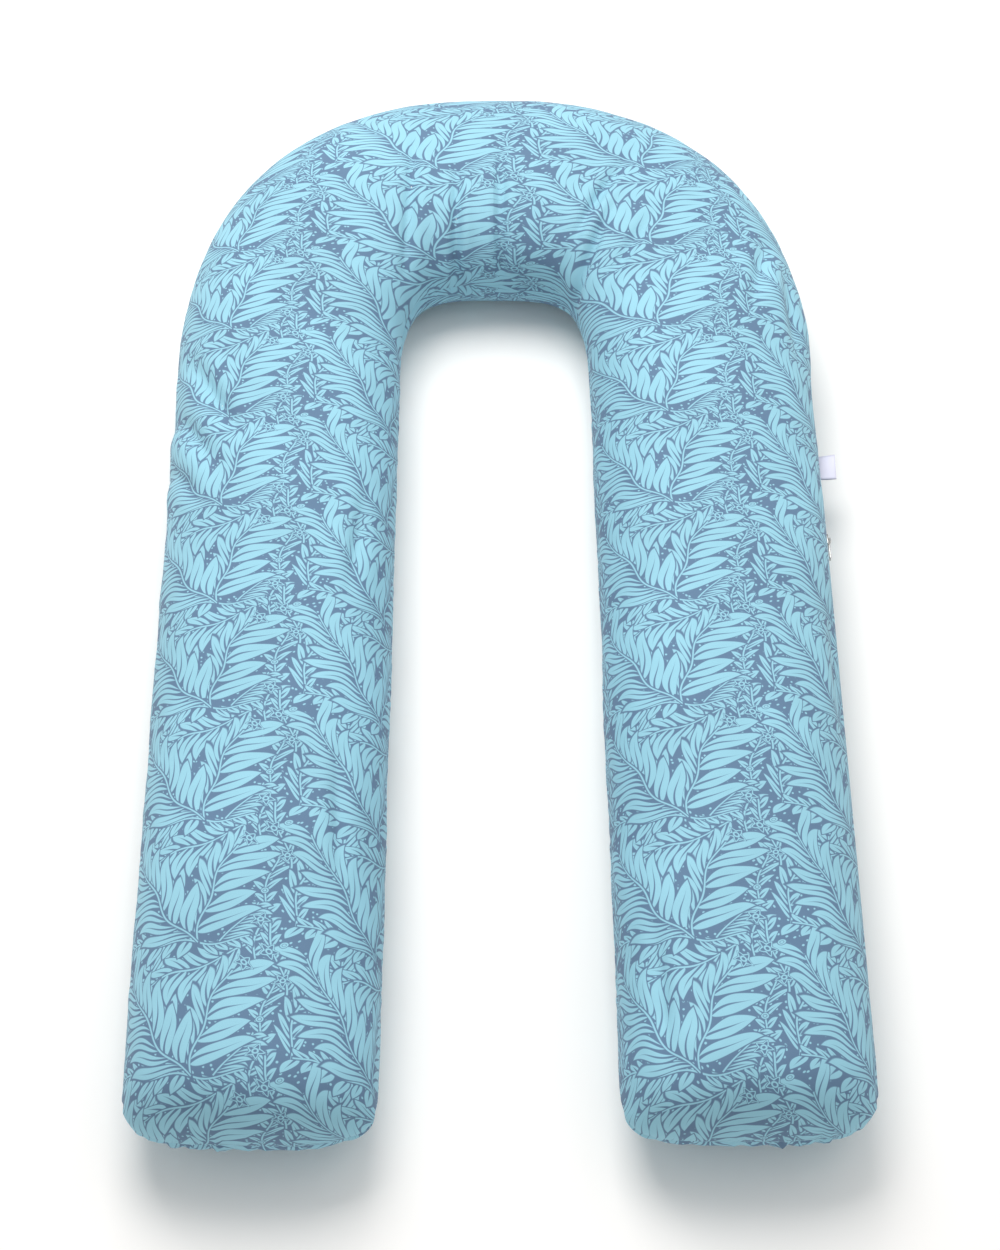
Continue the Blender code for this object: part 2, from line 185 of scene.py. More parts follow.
def add_node(tree, kind, values, inputs):
    """Add a shader node with its properties, and its inputs in order or by name."""
    node = tree.nodes.new("ShaderNode" + kind)
    for name, value in values.items():
        setattr(node, name, value)
    pairs = inputs.items() if isinstance(inputs, dict) else enumerate(inputs)
    for key, source in pairs:
        if isinstance(source, bpy.types.NodeSocket):
            tree.links.new(source, node.inputs[key])
        elif source is not None:
            node.inputs[key].default_value = source
    return node.outputs


def new_material(name):
    """A material and its empty tree, or the made material and None."""
    old = bpy.data.materials.get(name)
    if old is not None:
        return old, None
    mat = bpy.data.materials.new(name)
    mat.use_nodes = True
    mat.node_tree.nodes.clear()
    return mat, mat.node_tree


def finish_material(tree, shader):
    end = tree.nodes.new("ShaderNodeOutputMaterial")
    tree.links.new(shader, end.inputs["Surface"])


# ---------------------------------------------------------------- form of the stuffed cover

END_ZONE = 2.5       # the lattice's rows fan out over this many times the end's rounding
END_ROWS = 9
EASE_START = 0.10    # the flat map eases inside the bend, from this far before it (m)
EASE_LENGTH = 0.25
EASE_SHARE = 0.85


def arch(share, power):
    """Height of a superellipse arch at a share of its half-width."""
    return np.clip(1 - np.abs(share) ** power, 0, None) ** (1 / power)


def centre_table(shape):
    """Right half of the centre line: distance from the arm's end, x and y."""
    turn = np.linspace(0, math.pi / 2, 900)
    bend_x = shape.bend_half_span * np.cos(turn).clip(0) ** (2 / shape.bend_power)
    bend_y = shape.arm_end_y + shape.arm_length
    bend_y = bend_y + shape.bend_depth * np.sin(turn) ** (2 / shape.bend_power)
    arm = np.linspace(0, 1, 300, endpoint=False)
    arm_x = shape.arm_half_span + (shape.bend_half_span - shape.arm_half_span) * arm
    arm_y = shape.arm_end_y + shape.arm_length * arm
    x = np.concatenate([arm_x, bend_x])
    y = np.concatenate([arm_y, bend_y])
    run = np.concatenate([[0], np.cumsum(np.hypot(np.diff(x), np.diff(y)))])
    return run, x, y


def centre_at(table, along):
    """Points on the centre line and outward directions, for an array of distances."""
    run, x, y = table
    reach = 0.006
    inside = np.clip(along, 0, run[-1])
    spill = along - inside
    low = np.clip(inside - reach, 0, run[-1])
    high = inside + reach
    mirrored = np.where(high > run[-1], 2 * run[-1] - high, high)
    high_x = np.interp(mirrored, run, x) * np.where(high > run[-1], -1, 1)
    dx = high_x - np.interp(low, run, x)
    dy = np.interp(mirrored, run, y) - np.interp(low, run, y)
    size = np.hypot(dx, dy)
    dx, dy = dx / size, dy / size
    at_x = np.interp(inside, run, x) + spill * dx
    at_y = np.interp(inside, run, y) + spill * dy
    return at_x, at_y, dy, -dx


class Lattice:
    """Rows run across the tube, from the arm's end to the middle of the bend."""

    def __init__(self, shape, cloth):
        self.shape = shape
        self.table = centre_table(shape)
        self.half = float(self.table[0][-1])
        self.columns = cloth.columns
        end_zone = END_ZONE * shape.end_round
        turn = np.linspace(0, math.pi / 2, END_ROWS + 1)
        self.back = 1 - np.cos(turn) ** (2 / shape.plan_power)
        self.back[-1] = 1.0
        joining = max(3, round(0.6 * end_zone / cloth.row))
        arm_rows = round((shape.arm_length - end_zone) / cloth.row)
        bend_rows = round((self.half - shape.arm_length) / cloth.row)
        self.joining = np.linspace(0, 1, joining + 1)[1:]
        arm = np.linspace(end_zone, shape.arm_length, arm_rows + 1)[1:]
        bend = np.linspace(shape.arm_length, self.half, bend_rows + 1)[1:]
        self.stops = np.concatenate([arm, bend])
        self.end_zone = end_zone
        self.rows = len(self.back) + len(self.joining) + len(self.stops)
        turn = math.pi * np.arange(self.columns + 1) / self.columns
        cosine = np.cos(turn)
        self.across = np.sign(cosine) * np.abs(cosine) ** (2 / shape.plan_power)
        self.across[0], self.across[-1] = 1, -1

    def distances(self):
        """Distance along the centre line of every point, rows by columns."""
        reach = self.shape.end_round
        front = reach * (1 - arch(self.across, self.shape.end_power))
        rows = [front + back * reach for back in self.back]
        last = rows[-1]
        rows += [last + (self.end_zone - last) * share for share in self.joining]
        rows += [np.full(len(self.across), stop) for stop in self.stops]
        return np.array(rows)

    def points(self, upper):
        """Places of one face of the right half, rows by columns by 3."""
        shape = self.shape
        along = self.distances()
        x, y, out_x, out_y = centre_at(self.table, along)
        reach = self.across[None, :] * shape.tube_width / 2
        power = shape.crown_power if upper else shape.base_power
        back = np.ones(self.rows)
        back[:len(self.back)] = self.back
        end_power = power if upper else shape.tuck_power
        section = arch(self.across, power)[None, :] * arch(1 - back, end_power)[:, None]
        if upper:
            z = shape.seam + (shape.crown - shape.seam) * section
        else:
            z = np.maximum(shape.seam - shape.seam * shape.base_spread * section, 0.0)
        return np.stack([np.maximum(x + out_x * reach, 0), y + out_y * reach, z], axis=-1)

    def from_seam(self, points):
        """How far each point is from the nearest seam, over the cloth."""
        steps = np.linalg.norm(np.diff(points, axis=1), axis=-1)
        run = np.concatenate([np.zeros((self.rows, 1)), np.cumsum(steps, axis=1)], axis=1)
        side = np.minimum(run, run[:, -1:] - run)
        steps = np.linalg.norm(np.diff(points, axis=0), axis=-1)
        climb = np.concatenate([np.zeros((1, points.shape[1])), np.cumsum(steps, axis=0)])
        return np.minimum(side, climb)

    def flat(self, points, squeeze):
        """The cloth cut flat: where each point of a face lies on the uncut cloth, in metres."""
        steps = np.linalg.norm(np.diff(points, axis=1), axis=-1)
        run = np.concatenate([np.zeros((self.rows, 1)), np.cumsum(steps, axis=1)], axis=1)
        middle = self.columns // 2
        arc = run[:, middle][:, None] - run
        along = self.distances()
        climb = np.linalg.norm(np.diff(points, axis=0), axis=-1)
        start = len(self.back) + len(self.joining) - 1
        for row in range(start - 1, -1, -1):
            along[row] = along[row + 1] - climb[row]
        x, y, out_x, out_y = centre_at(self.table, along)
        reach = self.across[None, :] * self.shape.tube_width / 2
        in_bend = np.clip((along - self.shape.arm_length + EASE_START) / EASE_LENGTH, 0, 1)
        smooth_step = in_bend * in_bend * (3 - 2 * in_bend)
        eased = np.where(arc < 0, 1 - EASE_SHARE * smooth_step, 1.0)
        flat_x = squeeze * (x + out_x * reach) + out_x * (arc - squeeze * reach) * eased
        flat_y = y + out_y * arc
        past_end = np.clip(flat_y - self.shape.arm_end_y, 0, None)
        return np.stack([flat_x, flat_y + FLAT_GATHER * past_end ** 2], axis=-1)


def add_face_grid(bm, lattice, upper, side, layers, slack):
    """Add one face of one half to bm, as a grid with its flat map."""
    points = lattice.points(upper)
    flat = lattice.flat(points, FLAT_SQUEEZE)
    spare = points.copy()
    grow_bend(lattice, spare, slack)
    columns, rows = lattice.columns, lattice.rows - 1
    grid = bmesh.ops.create_grid(bm, x_segments=columns, y_segments=rows, size=1)
    panel = PANELS.index("cover_%s_%s" % ("top" if upper else "bottom",
                                          "right" if side > 0 else "left"))
    distance = lattice.distances()
    edge = lattice.from_seam(points)
    faces = {face for vert in grid["verts"] for face in vert.link_faces}
    place = {}
    for vert in grid["verts"]:
        column = round((vert.co.x + 1) / 2 * columns)
        row = round((vert.co.y + 1) / 2 * rows)
        place[vert] = (row, column)
    for vert, (row, column) in place.items():
        x, y, z = points[row, column]
        vert.co = (side * x, y, z)
        x, y, z = spare[row, column]
        vert[layers["spare"]] = Vector((side * x, y, z))
        vert[layers["along"]] = distance[row, column]
        vert[layers["across"]] = lattice.across[column]
        vert[layers["edge"]] = edge[row, column]
    for face in faces:
        face.material_index = panel
        face.smooth = True
        for loop in face.loops:
            row, column = place[loop.vert]
            x, y = flat[row, column]
            loop[layers["flat"]].uv = (side * x, y)


SPARE_RISE = 0.16    # the spare cloth of the bend starts this far before it (m)
SPARE_BEND = 1.6     # spare cloth at the bend's outer seam, in times the slack


def grow_bend(lattice, points, slack):
    """Spare cloth for the simulation: longer along the outer seam of the bend and at the ends."""
    shape = lattice.shape
    along = lattice.distances()
    x, y, out_x, out_y = centre_at(lattice.table, along)
    outer = np.clip(lattice.across, 0, 1)[None, :] ** 2
    rise = np.clip((along - shape.arm_length + SPARE_RISE) / SPARE_RISE, 0, 1)
    near = np.clip(1 - along / (2 * shape.end_round), 0, 1)
    for grow in (slack * shape.tube_width * SPARE_BEND * outer * rise,
                 slack * near * lattice.across[None, :] * shape.tube_width):
        points[..., 0] += out_x * grow
        points[..., 1] += out_y * grow


def cover_lattice(shape, cloth):
    """The whole cover as one closed, welded mesh, with its flat map and its spare cloth."""
    lattice = Lattice(shape, cloth)
    bm = bmesh.new()
    layers = {
        "flat": bm.loops.layers.uv.new("flat_cloth"),
        "spare": bm.verts.layers.float_vector.new("spare"),
        "along": bm.verts.layers.float.new("along"),
        "across": bm.verts.layers.float.new("across"),
        "edge": bm.verts.layers.float.new("edge"),
    }
    for side in (1, -1):
        for upper in (True, False):
            add_face_grid(bm, lattice, upper, side, layers, cloth.slack)
    bmesh.ops.remove_doubles(bm, verts=bm.verts, dist=1e-5)
    bmesh.ops.recalc_face_normals(bm, faces=bm.faces)
    mesh = bpy.data.meshes.new("stuffed_cover")
    bm.to_mesh(mesh)
    bm.free()
    return mesh


def read_points(mesh):
    """Places of a mesh's points, one row each."""
    flat = np.empty(len(mesh.vertices) * 3)
    mesh.vertices.foreach_get("co", flat)
    return flat.reshape(-1, 3)


def write_points(mesh, points):
    mesh.vertices.foreach_set("co", np.ascontiguousarray(points).ravel())
    mesh.update()


def read_numbers(mesh, name, size=1):
    data = mesh.attributes[name].data
    flat = np.empty(len(data) * size)
    data.foreach_get("vector" if size == 3 else "value", flat)
    return flat.reshape(-1, size) if size > 1 else flat


STUFFING = {  # plain-weave cotton: stiff along its threads, soft to bend
    "quality": 5, "mass": 0.15, "tension_stiffness": 25, "compression_stiffness": 25,
    "shear_stiffness": 8, "bending_stiffness": 0.12, "pin_stiffness": 0.6,
    "use_pressure": True, "vertex_group_mass": "hold",
}
HOLD_FLOOR, HOLD_SEAM, HOLD_FACE = 0.9, 0.75, 0.25
ON_FLOOR = 2 * MM


def stuff(context, mesh, cloth):
    """How far a cloth simulation, with pressure inside, moves each point of the closed cover."""
    start = read_points(mesh)
    obj = bpy.data.objects.new("stuffing", mesh.copy())
    context.scene.collection.objects.link(obj)
    obj.shape_key_add(name="Basis")
    rest = obj.shape_key_add(name="cut_cloth")
    rest.data.foreach_set("co", read_numbers(mesh, "spare", 3).ravel())
    rest.value = 0.0
    hold = obj.vertex_groups.new(name="hold")
    at_seam = np.abs(np.abs(read_numbers(mesh, "across")) - 1) < 1e-4
    weight = np.where(start[:, 2] < ON_FLOOR, HOLD_FLOOR, HOLD_FACE)
    weight = np.where(at_seam, HOLD_SEAM, weight)
    for level in np.unique(weight):
        hold.add(np.nonzero(weight == level)[0].tolist(), float(level), "REPLACE")
    sim = obj.modifiers.new("stuffing", "CLOTH")
    for name, value in STUFFING.items():
        setattr(sim.settings, name, value)
    sim.settings.uniform_pressure_force = cloth.pressure
    sim.settings.effector_weights.gravity = 0
    sim.settings.rest_shape_key = rest
    sim.collision_settings.use_collision = False
    sim.point_cache.frame_start = 1
    sim.point_cache.frame_end = cloth.frames
    for number in range(1, cloth.frames + 1):
        context.scene.frame_set(number)
    held = obj.evaluated_get(context.evaluated_depsgraph_get())
    shift = read_points(held.to_mesh()) - start
    size = np.linalg.norm(shift, axis=1)
    shift *= np.minimum(1, cloth.cap / np.maximum(size, 1e-9))[:, None]
    context.scene.frame_set(1)
    bpy.data.objects.remove(obj, do_unlink=True)
    return shift


CREASES = (  # start x, y, end x, y, width, depth, in metres, on the bend's upper face
    (0.008, 0.395, 0.010, 0.570, 0.0060, 0.0075),
    (-0.050, 0.382, -0.046, 0.545, 0.0055, 0.0078),
    (-0.112, 0.430, -0.100, 0.610, 0.0065, 0.0066),
    (0.161, 0.555, 0.115, 0.480, 0.0060, 0.0075),
    (0.145, 0.482, 0.101, 0.395, 0.0060, 0.0081),
    (0.196, 0.470, 0.150, 0.400, 0.0070, 0.0054),
    (-0.375, 0.270, -0.322, 0.166, 0.0085, 0.0078),
    (-0.392, 0.200, -0.345, 0.120, 0.0075, 0.0069),
    (-0.398, 0.130, -0.362, 0.070, 0.0070, 0.0054),
    (0.373, 0.404, 0.379, 0.295, 0.0080, 0.0066),
    (0.345, 0.440, 0.325, 0.350, 0.0085, 0.0054),
    (0.398, -0.090, 0.402, -0.230, 0.0080, 0.0045),
    (-0.180, -0.300, -0.176, -0.420, 0.0080, 0.0051),
    (0.172, -0.520, 0.178, -0.640, 0.0080, 0.0051),
    (-0.170, -0.050, -0.158, 0.060, 0.0080, 0.0045),
)


SWELL = 0.4          # swell beside a crease, against its depth
SWELL_PLACE = 2.4    # middle of the swell, in widths of the crease
SWELL_WIDTH = 1.4
PAST_CREASE = 0.02   # a crease runs out over this distance (m)


def crease(points, normals):
    """Fold the cloth along each crease, with a low swell on both sides."""
    for x0, y0, x1, y1, width, depth in CREASES:
        heading = np.array([x1 - x0, y1 - y0])
        size = float(np.linalg.norm(heading))
        heading = heading / size
        from_start = points[:, :2] - [x0, y0]
        run = from_start @ heading
        aside = np.abs(from_start[:, 1] * heading[0] - from_start[:, 0] * heading[1])
        share = np.clip(run / size, 0, 1)
        past = np.abs(run - share * size)
        fade = np.sin(math.pi * (0.12 + 0.76 * share)) ** 0.7
        fade = fade * np.exp(-(past / PAST_CREASE) ** 2)
        valley = np.exp(-(aside / width) ** 2)
        swell = SWELL * np.exp(-((aside - SWELL_PLACE * width) / (SWELL_WIDTH * width)) ** 2)
        upper = np.clip(normals[:, 2] * 4, 0, 1)
        points -= normals * (depth * fade * (valley - swell) * upper)[:, None]
    return points


GATHERS = ((0.027, 1.0, 0.0), (0.0173, 0.7, 1.3))  # length along the seam (m), height, phase
GATHER_BEAT = 0.19   # the gathers come and go over this length (m)
GATHER_SLANT = 0.14  # the gathers run on round the arm's end (m across it)
GATHER_SEAM, GATHER_END = 0.8 * MM, 2.4 * MM
END_REACH = 0.09     # the end's gathers fade over this length (m)
SEAM_GROOVE, GROOVE_HALF = 1.8 * MM, 0.004


def pucker(mesh, points, normals):
    """Draw the seams in and gather the cloth beside them, most at the arms' ends."""
    edge = read_numbers(mesh, "edge")
    along = read_numbers(mesh, "along")
    run = along + GATHER_SLANT * read_numbers(mesh, "across")
    wave = sum(share * np.sin(run * 2 * math.pi / pitch + phase)
               for pitch, share, phase in GATHERS)
    wave = wave * (0.6 + 0.4 * np.sin(run * 2 * math.pi / GATHER_BEAT))
    at_end = np.clip(1 - along / END_REACH, 0, 1)
    height = GATHER_SEAM + GATHER_END * at_end
    spread = 0.012 + 0.010 * at_end
    groove = SEAM_GROOVE * np.exp(-(edge / GROOVE_HALF) ** 2)
    near_seam = np.exp(-edge / spread) * np.clip(edge / GROOVE_HALF, 0, 1)
    return points - normals * (groove - wave * height * near_seam)[:, None]


LUMPS = (  # height, lumps to the metre, place in the noise
    (1.6 * MM, 11, (0, 0, 0)),
    (0.8 * MM, 27, (4, 1, 7)),
    (0.35 * MM, 70, (2, 9, 3)),
)


def lump(points, normals):
    """Uneven filling: broad soft lumps, with smaller ripples in the cloth over them."""
    height = np.array([sum(high * noise.noise(Vector(place) * scale + Vector(start))
                           for high, scale, start in LUMPS) for place in points])
    return points + normals * height[:, None]


def read_normals(mesh):
    flat = np.empty(len(mesh.vertices) * 3)
    mesh.vertex_normals.foreach_get("vector", flat)
    return flat.reshape(-1, 3)


def smoothed(context, mesh):
    """The mesh after one subdivision."""
    obj = bpy.data.objects.new("smoothing", mesh)
    context.scene.collection.objects.link(obj)
    step = obj.modifiers.new("smooth", "SUBSURF")
    step.levels = step.render_levels = 1
    held = obj.evaluated_get(context.evaluated_depsgraph_get())
    fine = bpy.data.meshes.new_from_object(held)
    bpy.data.objects.remove(obj, do_unlink=True)
    return fine


def off_the_zip(mesh, trim):
    """0 where the cover is sewn flat along the zip's tape, rising to 1 where it is loose."""
    past_end = np.abs(read_numbers(mesh, "along") - trim.zip_along) - trim.zip_length / 2
    past_end = (past_end - 0.018) / 0.030
    beside = (read_numbers(mesh, "edge") - 0.016) / 0.024
    other_side = (read_numbers(mesh, "across") < 0) | (read_points(mesh)[:, 0] < 0)
    return np.where(other_side, 1.0, np.clip(np.maximum(past_end, beside), 0, 1))


ZIP_ROOM = 0.013     # the cover is back in its own place this far from the seam (m)


def open_zip(mesh, shape, trim, upper):
    """Part the cover's edges along the zip, so that its coil shows between them."""
    points = read_points(mesh)
    reach = trim.zip_length / 2 + 0.004
    share = (reach - np.abs(read_numbers(mesh, "along") - trim.zip_along)) / 0.006
    share = np.clip(share, 0, 1) * (read_numbers(mesh, "across") > 0.9) * (points[:, 0] > 0)
    rise = np.abs(points[:, 2] - shape.seam)
    opened = trim.slot_half + rise * (ZIP_ROOM - trim.slot_half) / ZIP_ROOM
    rise = np.where(rise < ZIP_ROOM, rise + (opened - rise) * share, rise)
    parted = shape.seam + (rise if upper else -rise)
    points[:, 2] = np.where(share > 0, parted, points[:, 2])
    write_points(mesh, points)


def declare(obj, body, nodes):
    """The piece moves with a body and stands for CAD nodes."""
    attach(obj, body)
    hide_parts(*nodes)


SEAM_CALM, ZIP_CALM = 0.06, 0.10  # share of the half-width where a seam holds the cloth
SEAM_LEFT = 0.15                  # of the movement, left at a seam


class PILLOW_OT_cover(bpy.types.Operator):
    """Stuff the welded cover and cut it into its four panels"""
    bl_idname = "pillow.cover"
    bl_label = "Printed cover"

    def execute(self, context):
        shape = settings(context, "shape")
        cloth = settings(context, "cloth")
        mesh = cover_lattice(shape, cloth)
        shift = stuff(context, mesh, cloth)
        start = read_points(mesh)
        along, across = read_numbers(mesh, "along"), read_numbers(mesh, "across")
        calm = np.clip((1 - np.abs(across)) / SEAM_CALM, SEAM_LEFT, 1)
        zip_side = (across > 0) & (start[:, 0] > 0) & (along < shape.arm_length)
        calm = np.where(zip_side, np.clip((1 - across) / ZIP_CALM, 0, 1), calm)
        points = start + shift * calm[:, None]
        points[:, 2] = np.maximum(points[:, 2], 0.0)
        write_points(mesh, points)
        fine = smoothed(context, mesh)
        normals = read_normals(fine)
        even = read_points(fine)
        points = crease(lump(read_points(fine), normals), normals)
        points = pucker(fine, points, normals)
        loose = off_the_zip(fine, settings(context, "trim"))[:, None]
        points = even + (points - even) * loose + normals * OVER_TAPE * (1 - loose)
        points[:, 2] = np.maximum(points[:, 2], 0.0)
        write_points(fine, points)
        write_points(mesh, crease(read_points(mesh), read_normals(mesh)))
        mat = printed_cotton(context)
        for number, name in enumerate(PANELS):
            panel = cut_panel(fine, (number,), name)
            if "right" in name:
                open_zip(panel, shape, settings(context, "trim"), "top" in name)
            obj = link_piece(context, name, panel)
            panel.materials.clear()
            panel.materials.append(mat)
            wall = obj.modifiers.new("cloth", "SOLIDIFY")
            wall.thickness = cloth.wall
            wall.offset = -1
            even = obj.modifiers.new("even_shading", "WEIGHTED_NORMAL")
            even.weight = 100
            declare(obj, "pillow", [name])
        return {"FINISHED"}


def cut_panel(mesh, numbers, name):
    """A copy of the stuffed cover that keeps some panels' faces."""
    bm = bmesh.new()
    bm.from_mesh(mesh)
    others = [face for face in bm.faces if face.material_index not in numbers]
    bmesh.ops.delete(bm, geom=others, context="FACES")
    for face in bm.faces:
        face.material_index = 0
    panel = bpy.data.meshes.new(name)
    bm.to_mesh(panel)
    bm.free()
    return panel


def shrunk(mesh, inset):
    """A copy of the stuffed cover drawn in along its normals."""
    inner = mesh.copy()
    inner.name = "shrunk_cover"
    write_points(inner, read_points(mesh) - read_normals(mesh) * inset)
    return inner


CASING_CLOTH = 0.3 * MM
CAP_GAP = 0.6 * MM   # between two bodies of filling, each side of their joint


class PILLOW_OT_casing(bpy.types.Operator):
    """Inner casing in two faces, just inside the cover"""
    bl_idname = "pillow.casing"
    bl_label = "Casing"

    def execute(self, context):
        cloth = settings(context, "cloth")
        inner = shrunk(bpy.data.meshes["stuffed_cover"], cloth.casing_inset)
        mat = nonwoven_lining(context)
        for name, numbers in (("casing_top", (0, 1)), ("casing_bottom", (2, 3))):
            panel = cut_panel(inner, numbers, name)
            obj = link_piece(context, name, panel)
            panel.materials.clear()
            panel.materials.append(mat)
            wall = obj.modifiers.new("cloth", "SOLIDIFY")
            wall.thickness = CASING_CLOTH
            wall.offset = -1
            declare(obj, "pillow", [name])
        bpy.data.meshes.remove(inner)
        return {"FINISHED"}


class PILLOW_OT_filling(bpy.types.Operator):
    """Fibre filling in three bodies: one in each arm and one round the bend"""
    bl_idname = "pillow.filling"
    bl_label = "Filling"

    def execute(self, context):
        cloth = settings(context, "cloth")
        split = settings(context, "shape").fill_split
        inner = shrunk(bpy.data.meshes["stuffed_cover"], cloth.fill_inset)
        mat = hollow_fibre(context)
        for name, side in (("fill_right_arm", 1), ("fill_left_arm", -1), ("fill_bend", 0)):
            body = cut_filling(inner, name, side, split)
            obj = link_piece(context, name, body)
            body.materials.clear()
            body.materials.append(mat)
            declare(obj, "pillow", [name])
        bpy.data.meshes.remove(inner)
        return {"FINISHED"}


def cut_filling(mesh, name, side, split):
    """Close off the part of the shrunk cover that one body of filling takes up."""
    bm = bmesh.new()
    bm.from_mesh(mesh)
    layer = bm.verts.layers.float["along"]
    if side:
        gone = [face for face in bm.faces
                if face.calc_center_median().x * side < 0
                or sum(vert[layer] for vert in face.verts) / len(face.verts) > split]
    else:
        gone = [face for face in bm.faces
                if sum(vert[layer] for vert in face.verts) / len(face.verts) < split]
    bmesh.ops.delete(bm, geom=gone, context="FACES")
    open_edges = [edge for edge in bm.edges if edge.is_boundary]
    caps = bmesh.ops.holes_fill(bm, edges=open_edges)
    for face in caps["faces"]:
        away = face.normal.copy()
        for vert in face.verts:
            vert.co -= away * CAP_GAP * (1 if away.y * (1 if side else -1) > 0 else -1)
    bmesh.ops.triangulate(bm, faces=caps["faces"])
    for face in bm.faces:
        face.material_index = 0
    bmesh.ops.recalc_face_normals(bm, faces=bm.faces)
    body = bpy.data.meshes.new(name)
    bm.to_mesh(body)
    bm.free()
    return body


# ---------------------------------------------------------------- zip and label

def seam_matrix(shape, along):
    """Frame on the right arm's outer seam: x outward, y towards the bend, z up."""
    table = centre_table(shape)
    x, y, out_x, out_y = (float(v[0]) for v in centre_at(table, np.array([along])))
    reach = shape.tube_width / 2
    turn = Matrix(((out_x, -out_y, 0), (out_y, out_x, 0), (0, 0, 1))).to_4x4()
    return Matrix.Translation((x + out_x * reach, y + out_y * reach, shape.seam)) @ turn


class PILLOW_OT_zip_tapes(bpy.types.Operator):
    """Woven tapes that carry the coils, as the CAD part has them"""
    bl_idname = "pillow.zip_tapes"
    bl_label = "Zip tapes"

    def execute(self, context):
        mat = woven_tape(context)
        for name in ("zip_tape_upper", "zip_tape_lower"):
            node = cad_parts[name]
            for slot in node.material_slots:
                slot.material = mat
        return {"FINISHED"}


DOUBLINGS = 4        # a wound length is copied on to twice itself this many times
STEPS_A_TURN = 8
COIL_HALF_DEPTH, COIL_HALF_HEIGHT = 0.9 * MM, 1.0 * MM
COIL_OUT, COIL_UP = 0.5 * MM, 2.05 * MM  # a coil's middle, from the seam line


class PILLOW_OT_zip_coils(bpy.types.Operator):
    """Wound nylon coils, one helix on each tape"""
    bl_idname = "pillow.zip_coils"
    bl_label = "Zip coils"

    def execute(self, context):
        shape = settings(context, "shape")
        trim = settings(context, "trim")
        place = seam_matrix(shape, trim.zip_along)
        mat = nylon_coil(context)
        wound = trim.coil_turns // 2 ** DOUBLINGS
        pitch = (trim.zip_length - 3 * trim.coil_wire) / (wound * 2 ** DOUBLINGS)
        for name, sign in (("zip_coil_upper", 1), ("zip_coil_lower", -1)):
            bm = bmesh.new()
            ring = bmesh.ops.create_circle(bm, segments=5, radius=trim.coil_wire)
            half = COIL_HALF_DEPTH - trim.coil_wire
            bmesh.ops.translate(bm, verts=ring["verts"], vec=(half, 0, 0))
            bmesh.ops.spin(bm, geom=bm.verts[:] + bm.edges[:], cent=(0, 0, 0), axis=(0, 1, 0),
                           dvec=(0, pitch / STEPS_A_TURN, 0), angle=2 * math.pi * wound,
                           steps=wound * STEPS_A_TURN)
            for doubling in range(DOUBLINGS):
                copied = bmesh.ops.duplicate(bm, geom=bm.verts[:] + bm.edges[:] + bm.faces[:])
                more = [item for item in copied["geom"] if isinstance(item, bmesh.types.BMVert)]
                further = wound * 2 ** doubling * pitch
                bmesh.ops.translate(bm, verts=more, vec=(0, further, 0))
            bmesh.ops.remove_doubles(bm, verts=bm.verts, dist=1e-6)
            ends = [edge for edge in bm.edges if edge.is_boundary]
            bmesh.ops.holes_fill(bm, edges=ends)
            bmesh.ops.recalc_face_normals(bm, faces=bm.faces)
            stretch = (COIL_HALF_HEIGHT - trim.coil_wire) / half
            bmesh.ops.scale(bm, verts=bm.verts, vec=(1, 1, stretch))
            reach = pitch * wound * 2 ** DOUBLINGS / 2
            middle = Vector((COIL_OUT, -reach, sign * COIL_UP))
            bmesh.ops.translate(bm, verts=bm.verts, vec=middle)
            bmesh.ops.transform(bm, matrix=place, verts=bm.verts)
            obj = piece_from(context, bm, name, mat)
            declare(obj, "pillow", [name])
        return {"FINISHED"}


SHARP = math.radians(50)
BEVEL_FROM, FLAT_WITHIN = math.radians(40), math.radians(2)


def piece_from(context, bm, name, mat):
    """A smooth object from a finished bmesh, with its sharp edges kept."""
    mesh = bpy.data.meshes.new(name)
    bm.to_mesh(mesh)
    bm.free()
    mesh.shade_smooth()
    mesh.set_sharp_from_angle(angle=SHARP)
    mesh.materials.append(mat)
    return link_piece(context, name, mesh)


def rounded_node(name, width):
    """A merged copy of a CAD node with its edges rounded, as a cast metal piece has them."""
    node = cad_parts[name]
    bm = bmesh.new()
    bm.from_mesh(node.data)
    bmesh.ops.remove_doubles(bm, verts=bm.verts, dist=1e-6)
    bmesh.ops.dissolve_limit(bm, angle_limit=FLAT_WITHIN, verts=bm.verts, edges=bm.edges)
    sharp = [edge for edge in bm.edges
             if edge.is_manifold and edge.calc_face_angle() > BEVEL_FROM]
    bmesh.ops.bevel(bm, geom=sharp, offset=width, offset_type="OFFSET", affect="EDGES",
                    segments=2, profile=0.5, material=-1, clamp_overlap=True)
    return bm


METAL = (  # CAD node, body, rounding of its edges
    ("zip_top_stop_upper", "pillow", 0.35 * MM),
    ("zip_top_stop_lower", "pillow", 0.35 * MM),
    ("zip_bottom_stop", "pillow", 0.4 * MM),
    ("zip_slider", "slider", 0.25 * MM),
    ("zip_pull", "pull", 0.3 * MM),
)


class PILLOW_OT_zip_metal(bpy.types.Operator):
    """Stops, slider and pull, nickel plated"""
    bl_idname = "pillow.zip_metal"
    bl_label = "Zip metal"

    def execute(self, context):
        mat = nickel_plate(context)
        for name, body, width in METAL:
            obj = piece_from(context, rounded_node(name, width), name, mat)
            declare(obj, body, [name])
        return {"FINISHED"}


LABEL_ROOT, LABEL_FOLD = 2.2 * MM, 0.42 * MM  # length inside the seam, radius of the fold
LABEL_LOFT, LABEL_CURL = 0.9 * MM, 3.2 * MM   # gap between the leaves, rise of the tip
RIBBON = 0.22 * MM


